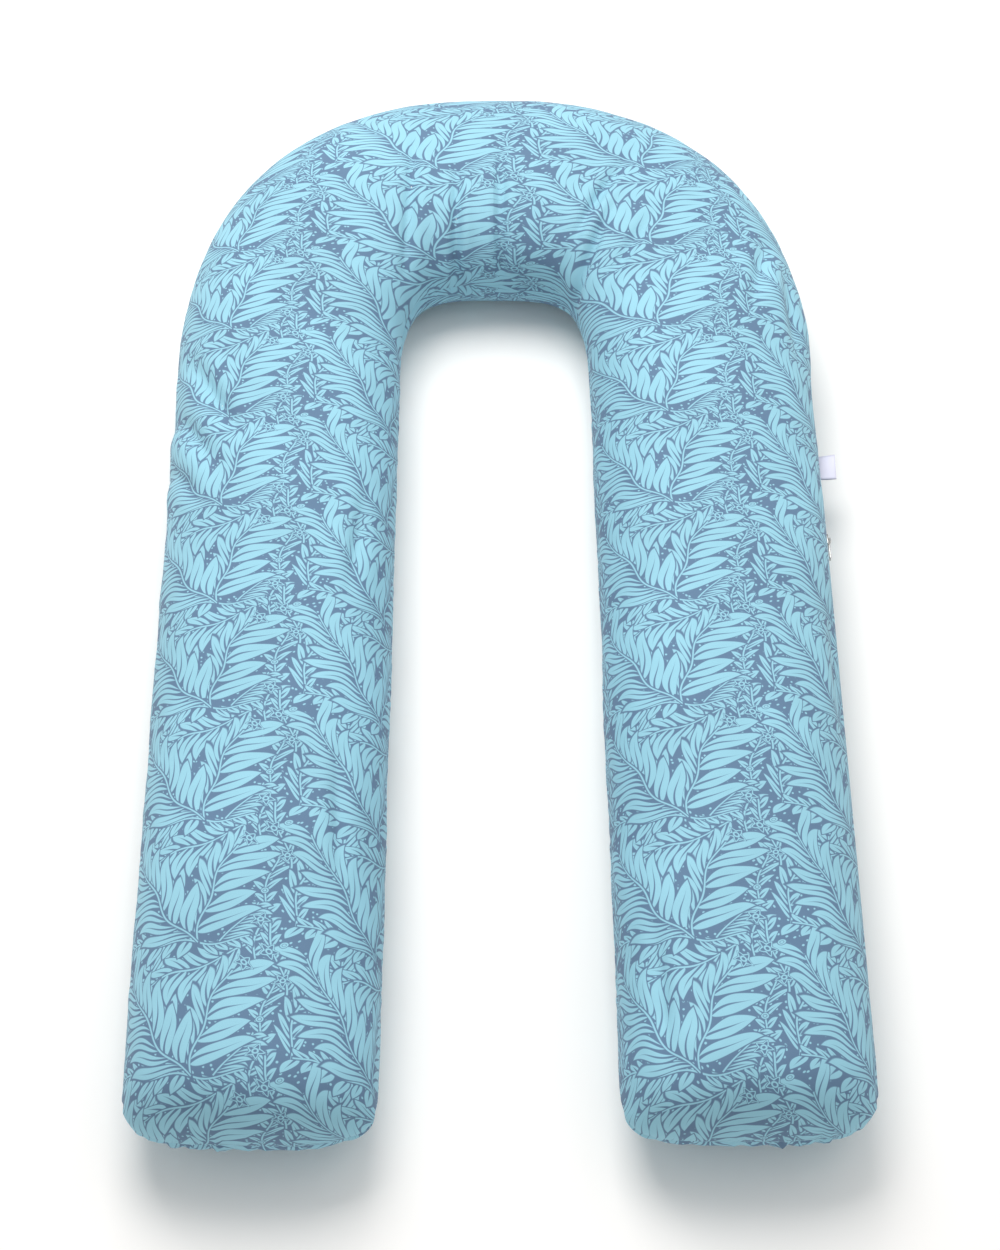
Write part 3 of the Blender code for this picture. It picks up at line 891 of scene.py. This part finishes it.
class PILLOW_OT_side_label(bpy.types.Operator):
    """Blank satin ribbon, folded over and caught in the side seam"""
    bl_idname = "pillow.side_label"
    bl_label = "Side label"

    def execute(self, context):
        shape = settings(context, "shape")
        trim = settings(context, "trim")
        place = seam_matrix(shape, trim.label_along)
        bm = bmesh.new()
        grid = bmesh.ops.create_grid(bm, x_segments=40, y_segments=12, size=1)
        long = LABEL_ROOT + trim.label_proud
        straight = long - LABEL_FOLD
        total = 2 * straight + math.pi * LABEL_FOLD
        for vert in grid["verts"]:
            run = (vert.co.x + 1) / 2 * total
            side = vert.co.y
            if run < straight:
                out, up = run, LABEL_FOLD
            elif run > total - straight:
                out, up = total - run, -LABEL_FOLD
            else:
                turn = (run - straight) / LABEL_FOLD
                out = straight + LABEL_FOLD * math.sin(turn)
                up = LABEL_FOLD * math.cos(turn)
            share = out / long
            loft = LABEL_LOFT * math.sin(math.pi * share) * (1 if up > 0 else -0.4)
            curl = LABEL_CURL * share ** 2 * (1 + 0.6 * side)
            vert.co = (out - LABEL_ROOT, side * trim.label_width / 2, up + loft + curl)
        bmesh.ops.transform(bm, matrix=place, verts=bm.verts)
        bmesh.ops.recalc_face_normals(bm, faces=bm.faces)
        obj = piece_from(context, bm, "side_label", satin_ribbon(context))
        wall = obj.modifiers.new("ribbon", "SOLIDIFY")
        wall.thickness = RIBBON
        wall.offset = -1
        declare(obj, "pillow", ["side_label"])
        return {"FINISHED"}


# ---------------------------------------------------------------- the leaf print

EDGE = 1 / (0.7 * MM)      # how sharply the print's colours meet
STEM_HALF = 1.0 * MM
RIB_HALF = 1.5 * MM
VECTORS = ("Cloth", "Base", "Repeat", "Middle")

# Each step: its name, kind of node, operation, then inputs. A word is an input of the group or an
# earlier step, with the output's number after a colon.
LEAF_ROW = (
    ("Cloth", "Base", "Repeat", "Middle", "Direction", "Side", "Stem", "Bend", "Spacing", "Lean",
     "Curl", "Reach", "Taper", "Width", "Outline", "Behind"), (
        ("away", "VectorMath", "SUBTRACT", "Cloth", "Base"),
        ("high", "VectorMath", "MULTIPLY_ADD", "Repeat", (0.5, 0.5, 0.5), "Middle"),
        ("low", "VectorMath", "MULTIPLY_ADD", "Repeat", (-0.5, -0.5, -0.5), "Middle"),
        ("tile", "VectorMath", "WRAP", "away", "high", "low"),
        ("back_turn", "Math", "MULTIPLY", "Direction", -1.0),
        ("turned", "VectorRotate", "Z_AXIS", "tile", None, None, "back_turn"),
        ("parts", "SeparateXYZ", None, "turned"),
        ("run_square", "Math", "MULTIPLY", "parts", "parts"),
        ("aside", "Math", "MULTIPLY_ADD", "run_square", "Bend", "parts:1"),
        ("out", "Math", "MULTIPLY", "aside", "Side"),
        ("leaned", "Math", "MULTIPLY", "out", "Lean"),
        ("straight_root", "Math", "SUBTRACT", "parts", "leaned"),
        ("out_square", "Math", "MULTIPLY", "out", "out"),
        ("root", "Math", "MULTIPLY_ADD", "out_square", "Curl", "straight_root"),
        ("count", "Math", "DIVIDE", "root", "Spacing"),
        ("number", "Math", "FLOOR", "count"),
        ("place", "Math", "FRACT", "count"),
        ("off_middle", "Math", "SUBTRACT", "place", 0.5),
        ("within", "Math", "ABSOLUTE", "off_middle"),
        ("lean_square", "Math", "MULTIPLY_ADD", "Lean", "Lean", 1.0),
        ("slope", "Math", "INVERSE_SQRT", "lean_square"),
        ("pitch", "Math", "MULTIPLY", "slope", "Spacing"),
        ("beside", "Math", "MULTIPLY", "within", "pitch"),
        ("middle", "Math", "ADD", "number", 0.5),
        ("up_stem", "Math", "MULTIPLY", "middle", "Spacing"),
        ("share", "Math", "DIVIDE", "up_stem", "Stem"),
        ("shorter", "Math", "MULTIPLY_ADD", "share", "Taper", 1.0),
        ("odd", "TexWhiteNoise", "1D", None, "number"),
        ("vary", "Math", "MULTIPLY_ADD", "odd", 0.22, 0.84),
        ("tapered", "Math", "MULTIPLY", "Reach", "shorter"),
        ("varied", "Math", "MULTIPLY", "tapered", "vary"),
        ("reach", "Math", "MAXIMUM", "varied", 0.5 * MM),
        ("gone", "Math", "DIVIDE", "out", "reach"),
        ("swell", "Math", "POWER", "gone", 0.62),
        ("left", "Math", "SUBTRACT", 1.0, "gone"),
        ("lens", "Math", "MULTIPLY", "swell", "left"),
        ("full", "Math", "MULTIPLY", "lens", 3.05),
        ("blade", "Math", "MULTIPLY", "full", "Width"),
        ("leaf_side", "Math", "SUBTRACT", "blade", "beside"),
        ("before_tip", "Math", "SUBTRACT", 1.0, "share"),
        ("leaf_below_tip", "Math", "MINIMUM", "leaf_side", "before_tip"),
        ("leaf_on_stem", "Math", "MINIMUM", "leaf_below_tip", "share"),
        ("leaf", "Math", "MINIMUM", "leaf_on_stem", "out"),
        ("rib_line", "Math", "MULTIPLY_ADD", "gone", RIB_HALF / 0.68, "beside"),
        ("rib", "Math", "SUBTRACT", "rib_line", RIB_HALF),
        ("ribbed", "Math", "MINIMUM", "leaf", "rib"),
        ("off_stem", "Math", "ABSOLUTE", "aside"),
        ("stem_side", "Math", "SUBTRACT", STEM_HALF, "off_stem"),
        ("stem_start", "Math", "MINIMUM", "stem_side", "parts"),
        ("to_tip", "Math", "SUBTRACT", "Stem", "parts"),
        ("stem", "Math", "MINIMUM", "stem_start", "to_tip"),
        ("whole", "Math", "MAXIMUM", "leaf", "stem"),
        ("drawn", "Math", "MAXIMUM", "ribbed", "stem"),
        ("ink", "Math", "MULTIPLY_ADD clamp", "drawn", EDGE, 0.5),
        ("with_outline", "Math", "ADD", "whole", "Outline"),
        ("clear", "Math", "MULTIPLY_ADD clamp", "with_outline", -EDGE, 0.5),
        ("print", "Math", "MULTIPLY_ADD", "clear", "Behind", "ink"),
    ))
FLOWER = (
    ("Cloth", "Base", "Repeat", "Radius", "Depth", "Turn", "Line", "Behind"), (
        ("away", "VectorMath", "SUBTRACT", "Cloth", "Base"),
        ("high", "VectorMath", "SCALE", "Repeat", None, None, 0.5),
        ("low", "VectorMath", "SCALE", "Repeat", None, None, -0.5),
        ("tile", "VectorMath", "WRAP", "away", "high", "low"),
        ("taller", "VectorMath", "MULTIPLY", "tile", (1.0, 1.2, 1.0)),
        ("parts", "SeparateXYZ", None, "taller"),
        ("reach", "VectorMath", "LENGTH", "taller"),
        ("angle", "Math", "ARCTAN2", "parts:1", "parts"),
        ("turned", "Math", "MULTIPLY_ADD", "angle", 2.5, "Turn"),
        ("wave", "Math", "SINE", "turned"),
        ("petal", "Math", "ABSOLUTE", "wave"),
        ("notch", "Math", "MULTIPLY", "petal", "Depth"),
        ("open", "Math", "SUBTRACT", 1.0, "notch"),
        ("rim", "Math", "MULTIPLY", "open", "Radius"),
        ("inside", "Math", "SUBTRACT", "rim", "reach:1"),
        ("off_rim", "Math", "ABSOLUTE", "inside"),
        ("line", "Math", "SUBTRACT", "Line", "off_rim"),
        ("eye", "Math", "MULTIPLY", "Radius", 0.28),
        ("in_eye", "Math", "SUBTRACT", "eye", "reach:1"),
        ("off_eye", "Math", "ABSOLUTE", "in_eye"),
        ("ring", "Math", "SUBTRACT", "Line", "off_eye"),
        ("drawn", "Math", "MAXIMUM", "line", "ring"),
        ("ink", "Math", "MULTIPLY_ADD clamp", "drawn", EDGE, 0.5),
        ("with_outline", "Math", "ADD", "inside", 1.8 * MM),
        ("clear", "Math", "MULTIPLY_ADD clamp", "with_outline", -EDGE, 0.5),
        ("print", "Math", "MULTIPLY_ADD", "clear", "Behind", "ink"),
    ))
CHOICES = {"Math": "operation", "VectorMath": "operation", "VectorRotate": "rotation_type",
           "TexWhiteNoise": "noise_dimensions"}


def step_group(name, table):
    """The node group that a table of steps describes; its last step is its output."""
    old = bpy.data.node_groups.get(name)
    if old is not None:
        return old
    sockets, steps = table
    tree = bpy.data.node_groups.new(name, "ShaderNodeTree")
    for socket in sockets:
        kind = "NodeSocketVector" if socket in VECTORS else "NodeSocketFloat"
        tree.interface.new_socket(socket, in_out="INPUT", socket_type=kind)
    tree.interface.new_socket("Print", in_out="OUTPUT", socket_type="NodeSocketFloat")
    given = tree.nodes.new("NodeGroupInput").outputs
    known = {socket: [given[socket]] for socket in sockets}
    for step, kind, choice, *sources in steps:
        values = {}
        if choice is not None:
            choice, *clamp = choice.split()
            values = {CHOICES[kind]: choice, **({"use_clamp": True} if clamp else {})}
        inputs = []
        for source in sources:
            if isinstance(source, str):
                source, _, number = source.partition(":")
                source = known[source][int(number or 0)]
            inputs.append(source)
        known[step] = add_node(tree, kind, values, inputs)
    end = tree.nodes.new("NodeGroupOutput")
    tree.links.new(known["print"][0], end.inputs["Print"])
    return tree


# Back to front: base x, y (m), direction (deg), side, stem, bend, spacing, lean, curl, reach,
# taper, width.
LEAF_ROWS = (
    ("filler_left", -0.030, 0.052, 112, 1, 0.095, 1.0, 0.0190, 1.2, 4.0, 0.026, -0.3, 0.0048),
    ("filler_right", -0.030, 0.052, 112, -1, 0.095, 1.0, 0.0190, 1.2, 4.0, 0.030, -0.3, 0.0050),
    ("shoot_left", 0.104, 0.020, 84, 1, 0.100, 1.0, 0.0170, 1.2, 0.0, 0.020, -0.2, 0.0040),
    ("shoot_right", 0.104, 0.020, 84, -1, 0.100, 1.0, 0.0170, 1.2, 0.0, 0.018, -0.2, 0.0038),
    ("bloom_vine_left", 0.064, -0.026, 86, 1, 0.145, 0.6, 0.0160, 0.9, 0.0, 0.017, -0.1, 0.0034),
    ("bloom_vine_right", 0.064, -0.026, 86, -1, 0.145, 0.6, 0.0160, 0.9, 0.0, 0.018, -0.1, 0.0034),
    ("twig_left", 0.098, -0.070, 98, 1, 0.095, -1.0, 0.0150, 1.1, 0.0, 0.015, -0.2, 0.0032),
    ("twig_right", 0.098, -0.070, 98, -1, 0.095, -1.0, 0.0150, 1.1, 0.0, 0.016, -0.2, 0.0032),
    ("droop_left", 0.056, -0.010, 200, -1, 0.140, 0.4, 0.0200, 1.2, 9.0, 0.028, -0.3, 0.0050),
    ("droop_right", 0.056, -0.010, 200, 1, 0.140, 0.4, 0.0210, 1.3, 9.0, 0.038, -0.3, 0.0056),
    ("fern_below", 0.026, 0.002, 42, -1, 0.056, -2.0, 0.0110, 1.1, 9.0, 0.028, -0.4, 0.0028),
    ("branch_left", 0.000, 0.000, 176, 1, 0.115, 1.0, 0.0200, 0.9, 12.0, 0.024, -0.2, 0.0052),
    ("branch_left_up", 0.000, 0.000, 176, -1, 0.115, 1.0, 0.0180, 1.4, 8.0, 0.017, -0.3, 0.0040),
    ("branch_right", 0.000, 0.000, 356, -1, 0.060, -1.5, 0.0150, 1.0, 5.0, 0.017, -0.3, 0.0038),
    ("right_upper", 0.000, 0.000, 86, 1, 0.120, 2.0, 0.0220, 2.1, 12.0, 0.036, -0.30, 0.0044),
    ("right_lower", 0.000, 0.000, 86, -1, 0.120, 2.0, 0.0250, 1.0, 9.0, 0.064, -0.30, 0.0078),
    ("left_upper", 0.000, 0.000, 138, -1, 0.150, 1.4, 0.0270, 1.3, 9.0, 0.052, -0.40, 0.0078),
    ("left_lower", 0.000, 0.000, 138, 1, 0.160, 1.4, 0.0210, 1.6, 10.0, 0.058, -0.42, 0.0046),
)
FLOWERS = (  # centre x, y, radius, petal depth, turn, line
    (0.082, -0.012, 0.0112, 0.50, 0.4, 0.0010),
    (0.050, -0.030, 0.0104, 0.50, 1.3, 0.0010),
    (0.092, -0.052, 0.0104, 0.50, 0.9, 0.0010),
    (0.066, 0.022, 0.0100, 0.50, 0.1, 0.0010),
    (0.074, 0.060, 0.0038, 0.0, 0.0, 0.0009),
    (0.098, -0.004, 0.0034, 0.0, 0.0, 0.0009),
)


LONGEST = 1.06       # the longest leaf of a row, against its drawn reach


def row_middle(turn, side, stem, bend, lean, curl, reach, taper):
    """Middle of a leaf row from its base, so that no leaf is cut where the print repeats."""
    turn = math.radians(turn)
    places = []
    for share in np.linspace(0, 1, 9).tolist():
        root = share * stem
        out = reach * (1 + taper * share) * LONGEST
        for run, aside in ((root, 0.0), (root + lean * out - curl * out * out, side * out)):
            aside = aside - bend * run * run
            places.append((run * math.cos(turn) - aside * math.sin(turn),
                           run * math.sin(turn) + aside * math.cos(turn)))
    across = [place[0] for place in places]
    along = [place[1] for place in places]
    return ((min(across) + max(across)) / 2, (min(along) + max(along)) / 2, 0.0)


def leaf_print(context, tree):
    """Draw the whole print; returns a socket that is 1 on leaf and 0 on ground."""
    values = settings(context, "print")
    repeat = (values.repeat_x, values.repeat_y, 1.0)
    cloth = add_node(tree, "UVMap", {"uv_map": "flat_cloth"}, [])
    moved = add_node(tree, "VectorMath", {"operation": "SUBTRACT"},
                     [cloth[0], (values.shift_x, values.shift_y, 0.0)])
    once = 2 * math.pi
    swing_x = add_node(tree, "VectorMath", {"operation": "DOT_PRODUCT"},
                       [moved[0], (once / values.repeat_x, 2 * once / values.repeat_y, 0.0)])
    swing_y = add_node(tree, "VectorMath", {"operation": "DOT_PRODUCT"},
                       [moved[0], (3 * once / values.repeat_x, -once / values.repeat_y, 0.0)])
    swing = add_node(tree, "CombineXYZ", {}, [swing_x["Value"], swing_y["Value"]])
    swing = add_node(tree, "VectorMath", {"operation": "SINE"}, [swing[0]])
    moved = add_node(tree, "VectorMath", {"operation": "MULTIPLY_ADD"},
                     [swing[0], (values.sway, values.sway, 0.0), moved[0]])
    spots = add_node(tree, "TexVoronoi", {"voronoi_dimensions": "2D"},
                     {"Vector": moved[0], "Scale": 1 / values.seed_gap, "Randomness": 0.8})
    drawn = add_node(tree, "Math", {"operation": "MULTIPLY_ADD", "use_clamp": True},
                     [spots["Distance"], -EDGE * values.seed_gap, EDGE * values.seed + 0.5])[0]
    drawings = []
    for name, x, y, turn, side, stem, bend, gap, lean, curl, reach, taper, width in LEAF_ROWS:
        middle = row_middle(turn, side, stem, bend, lean, curl, reach, taper)
        drawings.append((name, "leaf_row", LEAF_ROW, {
            "Base": (x, y, 0.0), "Direction": math.radians(turn), "Middle": middle,
            "Side": side, "Stem": stem, "Bend": bend, "Spacing": gap, "Lean": lean,
            "Curl": curl, "Reach": reach, "Taper": taper, "Width": width,
            "Outline": values.outline}))
    for x, y, radius, depth, turn, line in FLOWERS:
        drawings.append(("flower", "flower", FLOWER, {
            "Base": (x, y, 0.0), "Radius": radius, "Depth": depth, "Turn": turn, "Line": line}))
    for label, group, table, given in drawings:
        node = tree.nodes.new("ShaderNodeGroup")
        node.node_tree = step_group(group, table)
        node.label = label
        for key, value in (*given.items(), ("Repeat", repeat)):
            node.inputs[key].default_value = value
        tree.links.new(moved[0], node.inputs["Cloth"])
        tree.links.new(drawn, node.inputs["Behind"])
        drawn = node.outputs["Print"]
    return drawn


def printed_cotton(context):
    """Plain-weave cotton, pigment printed: matt, with a faint thread texture and no shine."""
    mat, tree = new_material("printed_plain_weave_cotton")
    if tree is None:
        return mat
    values = settings(context, "print")
    drawn = leaf_print(context, tree)
    place = add_node(tree, "TexCoord", {}, [])
    cloud = add_node(tree, "TexNoise", {}, {"Vector": place["Object"], "Scale": 9.0,
                                            "Detail": 3.0})
    shade = add_node(tree, "MapRange", {}, {"Value": cloud["Fac"], "From Min": 0.3,
                                            "From Max": 0.7, "To Min": 0.94, "To Max": 1.04})
    mixed = add_node(tree, "Mix", {"data_type": "RGBA"},
                     {0: drawn, 6: (*values.ground, 1), 7: (*values.leaf, 1)})
    tinted = add_node(tree, "VectorMath", {"operation": "SCALE"},
                      {"Vector": mixed[2], "Scale": shade[0]})
    weave = add_node(tree, "TexNoise", {}, {"Vector": place["Object"], "Scale": 420.0,
                                            "Detail": 2.0})
    bump = add_node(tree, "Bump", {}, {"Strength": 0.12, "Distance": 0.0006,
                                       "Height": weave["Fac"]})
    shader = add_node(tree, "BsdfPrincipled", {},
                      {"Base Color": tinted[0], "Roughness": 0.82, "Specular IOR Level": 0.25,
                       "Sheen Weight": 0.08, "Sheen Roughness": 0.5, "Normal": bump[0]})
    finish_material(tree, shader[0])
    return mat


def grained(name, tint, grain, shade, relief, surface):
    """A material whose tint and relief both follow a texture in object space.

    grain and relief are (kind, properties, inputs, output); shade maps the grain to the tint's
    strength; relief adds its bump's strength and depth, and may be None.
    """
    mat, tree = new_material(name)
    if tree is None:
        return mat
    place = add_node(tree, "TexCoord", {}, [])
    made = {}
    for part in (grain, relief[0] if relief else None):
        if part is not None:
            kind, values, inputs, output = part
            key = str(part)
            if key not in made:
                vector = {"Vector": place["Object"], **inputs}
                made[key] = add_node(tree, kind, values, vector)[output]
    share = add_node(tree, "MapRange", {}, {"Value": made[str(grain)], **shade})
    inputs = dict(surface)
    if relief:
        bump = add_node(tree, "Bump", {}, {"Strength": relief[1], "Distance": relief[2],
                                           "Height": made[str(relief[0])]})
        inputs["Normal"] = bump[0]
    if surface.get("Metallic"):
        inputs["Base Color"] = (*tint, 1)
        inputs["Roughness"] = share[0]
    else:
        scaled = add_node(tree, "VectorMath", {"operation": "SCALE"},
                          {"Vector": tuple(tint), "Scale": share[0]})
        inputs["Base Color"] = scaled[0]
    shader = add_node(tree, "BsdfPrincipled", {}, inputs)
    finish_material(tree, shader[0])
    return mat


def shade_range(low, high, start=0.0, end=1.0):
    """Inputs that map a grain from start..end to low..high."""
    return {"From Min": start, "From Max": end, "To Min": low, "To Max": high}


def nonwoven_lining(context):
    """Spunbond polypropylene: matt white felted sheet with a fine embossed dot grid."""
    cloud = ("TexNoise", {}, {"Scale": 60.0, "Detail": 4.0}, "Fac")
    dots = ("TexVoronoi", {}, {"Scale": 420.0, "Randomness": 0.15}, "Distance")
    return grained("spunbond_lining", settings(context, "trim").lining, cloud,
                   shade_range(0.92, 1.0, 0.3, 0.7), (dots, 0.3, 0.0002), {"Roughness": 0.9})


def hollow_fibre(context):
    """Carded polyester fibre: soft white, matt, with tangled strands and shaded hollows."""
    strands = ("TexNoise", {}, {"Scale": 180.0, "Detail": 6.0, "Roughness": 0.7,
                                "Distortion": 2.0}, "Fac")
    return grained("hollow_polyester_fibre", settings(context, "trim").fibre, strands,
                   shade_range(0.82, 1.0, 0.3, 0.7), (strands, 0.6, 0.001),
                   {"Roughness": 1.0, "Sheen Weight": 0.2})


def woven_tape(context):
    """Polyester zip tape: a tight weave in slanting ribs, dull and a little rough."""
    ribs = ("TexWave", {"wave_type": "BANDS", "bands_direction": "DIAGONAL"},
            {"Scale": 200.0, "Distortion": 0.4}, "Fac")
    return grained("woven_polyester_tape", settings(context, "trim").tape, ribs,
                   shade_range(0.78, 1.0), (ribs, 0.4, 0.0002), {"Roughness": 0.75})


def nylon_coil(context):
    """Extruded nylon monofilament: dyed, smooth, with a soft shine and slight streaks."""
    streaks = ("TexNoise", {}, {"Scale": 900.0}, "Fac")
    return grained("nylon_monofilament", settings(context, "trim").coil, streaks,
                   shade_range(0.85, 1.05), None, {"Roughness": 0.35, "IOR": 1.53})


def nickel_plate(context):
    """Zinc die casting, nickel plated and tumbled: bright grey with faint scuffs."""
    scuffs = ("TexNoise", {}, {"Scale": 700.0, "Detail": 5.0, "Roughness": 0.65}, "Fac")
    return grained("tumbled_nickel_plate", settings(context, "trim").metal, scuffs,
                   shade_range(0.16, 0.32, 0.3, 0.7), (scuffs, 0.08, 0.0001), {"Metallic": 1.0})


def satin_ribbon(context):
    """Polyester satin ribbon, cut and folded: pale lilac grey with a lengthwise sheen."""
    threads = ("TexWave", {"wave_type": "BANDS", "bands_direction": "Y"},
               {"Scale": 330.0, "Distortion": 0.3}, "Fac")
    return grained("polyester_satin_ribbon", settings(context, "trim").label, threads,
                   shade_range(0.93, 1.0), (threads, 0.15, 0.0001),
                   {"Roughness": 0.38, "Anisotropic": 0.5, "Sheen Weight": 0.15})


# ---------------------------------------------------------------- stage

LAMPS = (  # name, place (m), size (m), power (W)
    ("key_light", (-0.5, 1.35, 3.0), 2.0, 86),
    ("fill_light", (1.3, 0.6, 2.9), 2.4, 14),
)
SKY_TINT = (0.94, 0.975, 1, 1)
TARGET = (0.0044, -0.073, 0.0875)  # the camera looks at this point (m)
FLOOR_HALF, FLOOR_DROP = 12, 0.5 * MM


class PILLOW_OT_stage(bpy.types.Operator):
    """Floor, soft light and camera"""
    bl_idname = "pillow.stage"
    bl_label = "Stage"

    def execute(self, context):
        stage = settings(context, "stage")
        scene = context.scene
        bm = bmesh.new()
        bmesh.ops.create_grid(bm, x_segments=1, y_segments=1, size=FLOOR_HALF)
        bmesh.ops.translate(bm, verts=bm.verts, vec=(0, 0, -FLOOR_DROP))
        mesh = bpy.data.meshes.new("floor")
        bm.to_mesh(mesh)
        bm.free()
        floor = bpy.data.objects.new("floor", mesh)
        scene.collection.objects.link(floor)
        mat, tree = new_material("matt_white_floor")
        if tree is not None:
            shader = add_node(tree, "BsdfPrincipled", {},
                              {"Base Color": (*stage.floor, 1), "Roughness": 0.9,
                               "Specular IOR Level": 0.0})
            finish_material(tree, shader[0])
        mesh.materials.append(mat)
        self.lights(scene, stage)
        self.camera(scene, stage)
        scene.view_settings.view_transform = "Standard"
        return {"FINISHED"}

    def lights(self, scene, stage):
        world = bpy.data.worlds.new("even_light")
        world.use_nodes = True
        light = world.node_tree.nodes["Background"]
        light.inputs["Strength"].default_value = stage.sky
        light.inputs["Color"].default_value = SKY_TINT
        scene.world = world
        for name, place, size, power in LAMPS:
            lamp = bpy.data.lights.new(name, "AREA")
            lamp.shape = "SQUARE"
            lamp.size = size
            lamp.energy = power
            obj = bpy.data.objects.new(name, lamp)
            obj.location = place
            aim = Vector((0, 0, 0)) - Vector(place)
            obj.rotation_euler = aim.to_track_quat("-Z", "Y").to_euler()
            scene.collection.objects.link(obj)

    def camera(self, scene, stage):
        flat = math.cos(stage.elevation)
        look = Vector((math.sin(stage.azimuth) * flat, math.cos(stage.azimuth) * flat,
                       -math.sin(stage.elevation)))
        lens = bpy.data.cameras.new("camera")
        lens.sensor_width = 36
        lens.sensor_fit = "HORIZONTAL"
        lens.lens = stage.lens
        obj = bpy.data.objects.new("camera", lens)
        obj.location = Vector(TARGET) - look * stage.distance
        obj.rotation_euler = look.to_track_quat("-Z", "Y").to_euler()
        scene.collection.objects.link(obj)
        scene.camera = obj


# ---------------------------------------------------------------- panel and main

STEPS = (PILLOW_OT_cover, PILLOW_OT_casing, PILLOW_OT_filling, PILLOW_OT_zip_tapes,
         PILLOW_OT_zip_coils, PILLOW_OT_zip_metal, PILLOW_OT_side_label, PILLOW_OT_stage)


class PILLOW_PT_build(bpy.types.Panel):
    """Lists the build steps"""
    bl_idname = "PILLOW_PT_build"
    bl_label = "Nursing pillow"
    bl_space_type = "VIEW_3D"
    bl_region_type = "UI"
    bl_category = "Pillow"

    def draw(self, context):
        for step in STEPS:
            self.layout.operator(step.bl_idname)


GROUPS = {"shape": PillowShape, "cloth": PillowCloth, "print": PillowPrint, "trim": PillowTrim,
          "stage": PillowStage}


def register():
    for group in GROUPS.values():
        bpy.utils.register_class(group)
    for name, group in GROUPS.items():
        setattr(bpy.types.Scene, "pillow_" + name, bpy.props.PointerProperty(type=group))
    for step in STEPS:
        bpy.utils.register_class(step)
    bpy.utils.register_class(PILLOW_PT_build)


def unregister():
    bpy.utils.unregister_class(PILLOW_PT_build)
    for step in reversed(STEPS):
        bpy.utils.unregister_class(step)
    for name, group in GROUPS.items():
        delattr(bpy.types.Scene, "pillow_" + name)
        bpy.utils.unregister_class(group)


def main():
    register()
    for step in STEPS:
        area, name = step.bl_idname.split(".")
        getattr(getattr(bpy.ops, area), name)()


if __name__ == "__main__":
    main()
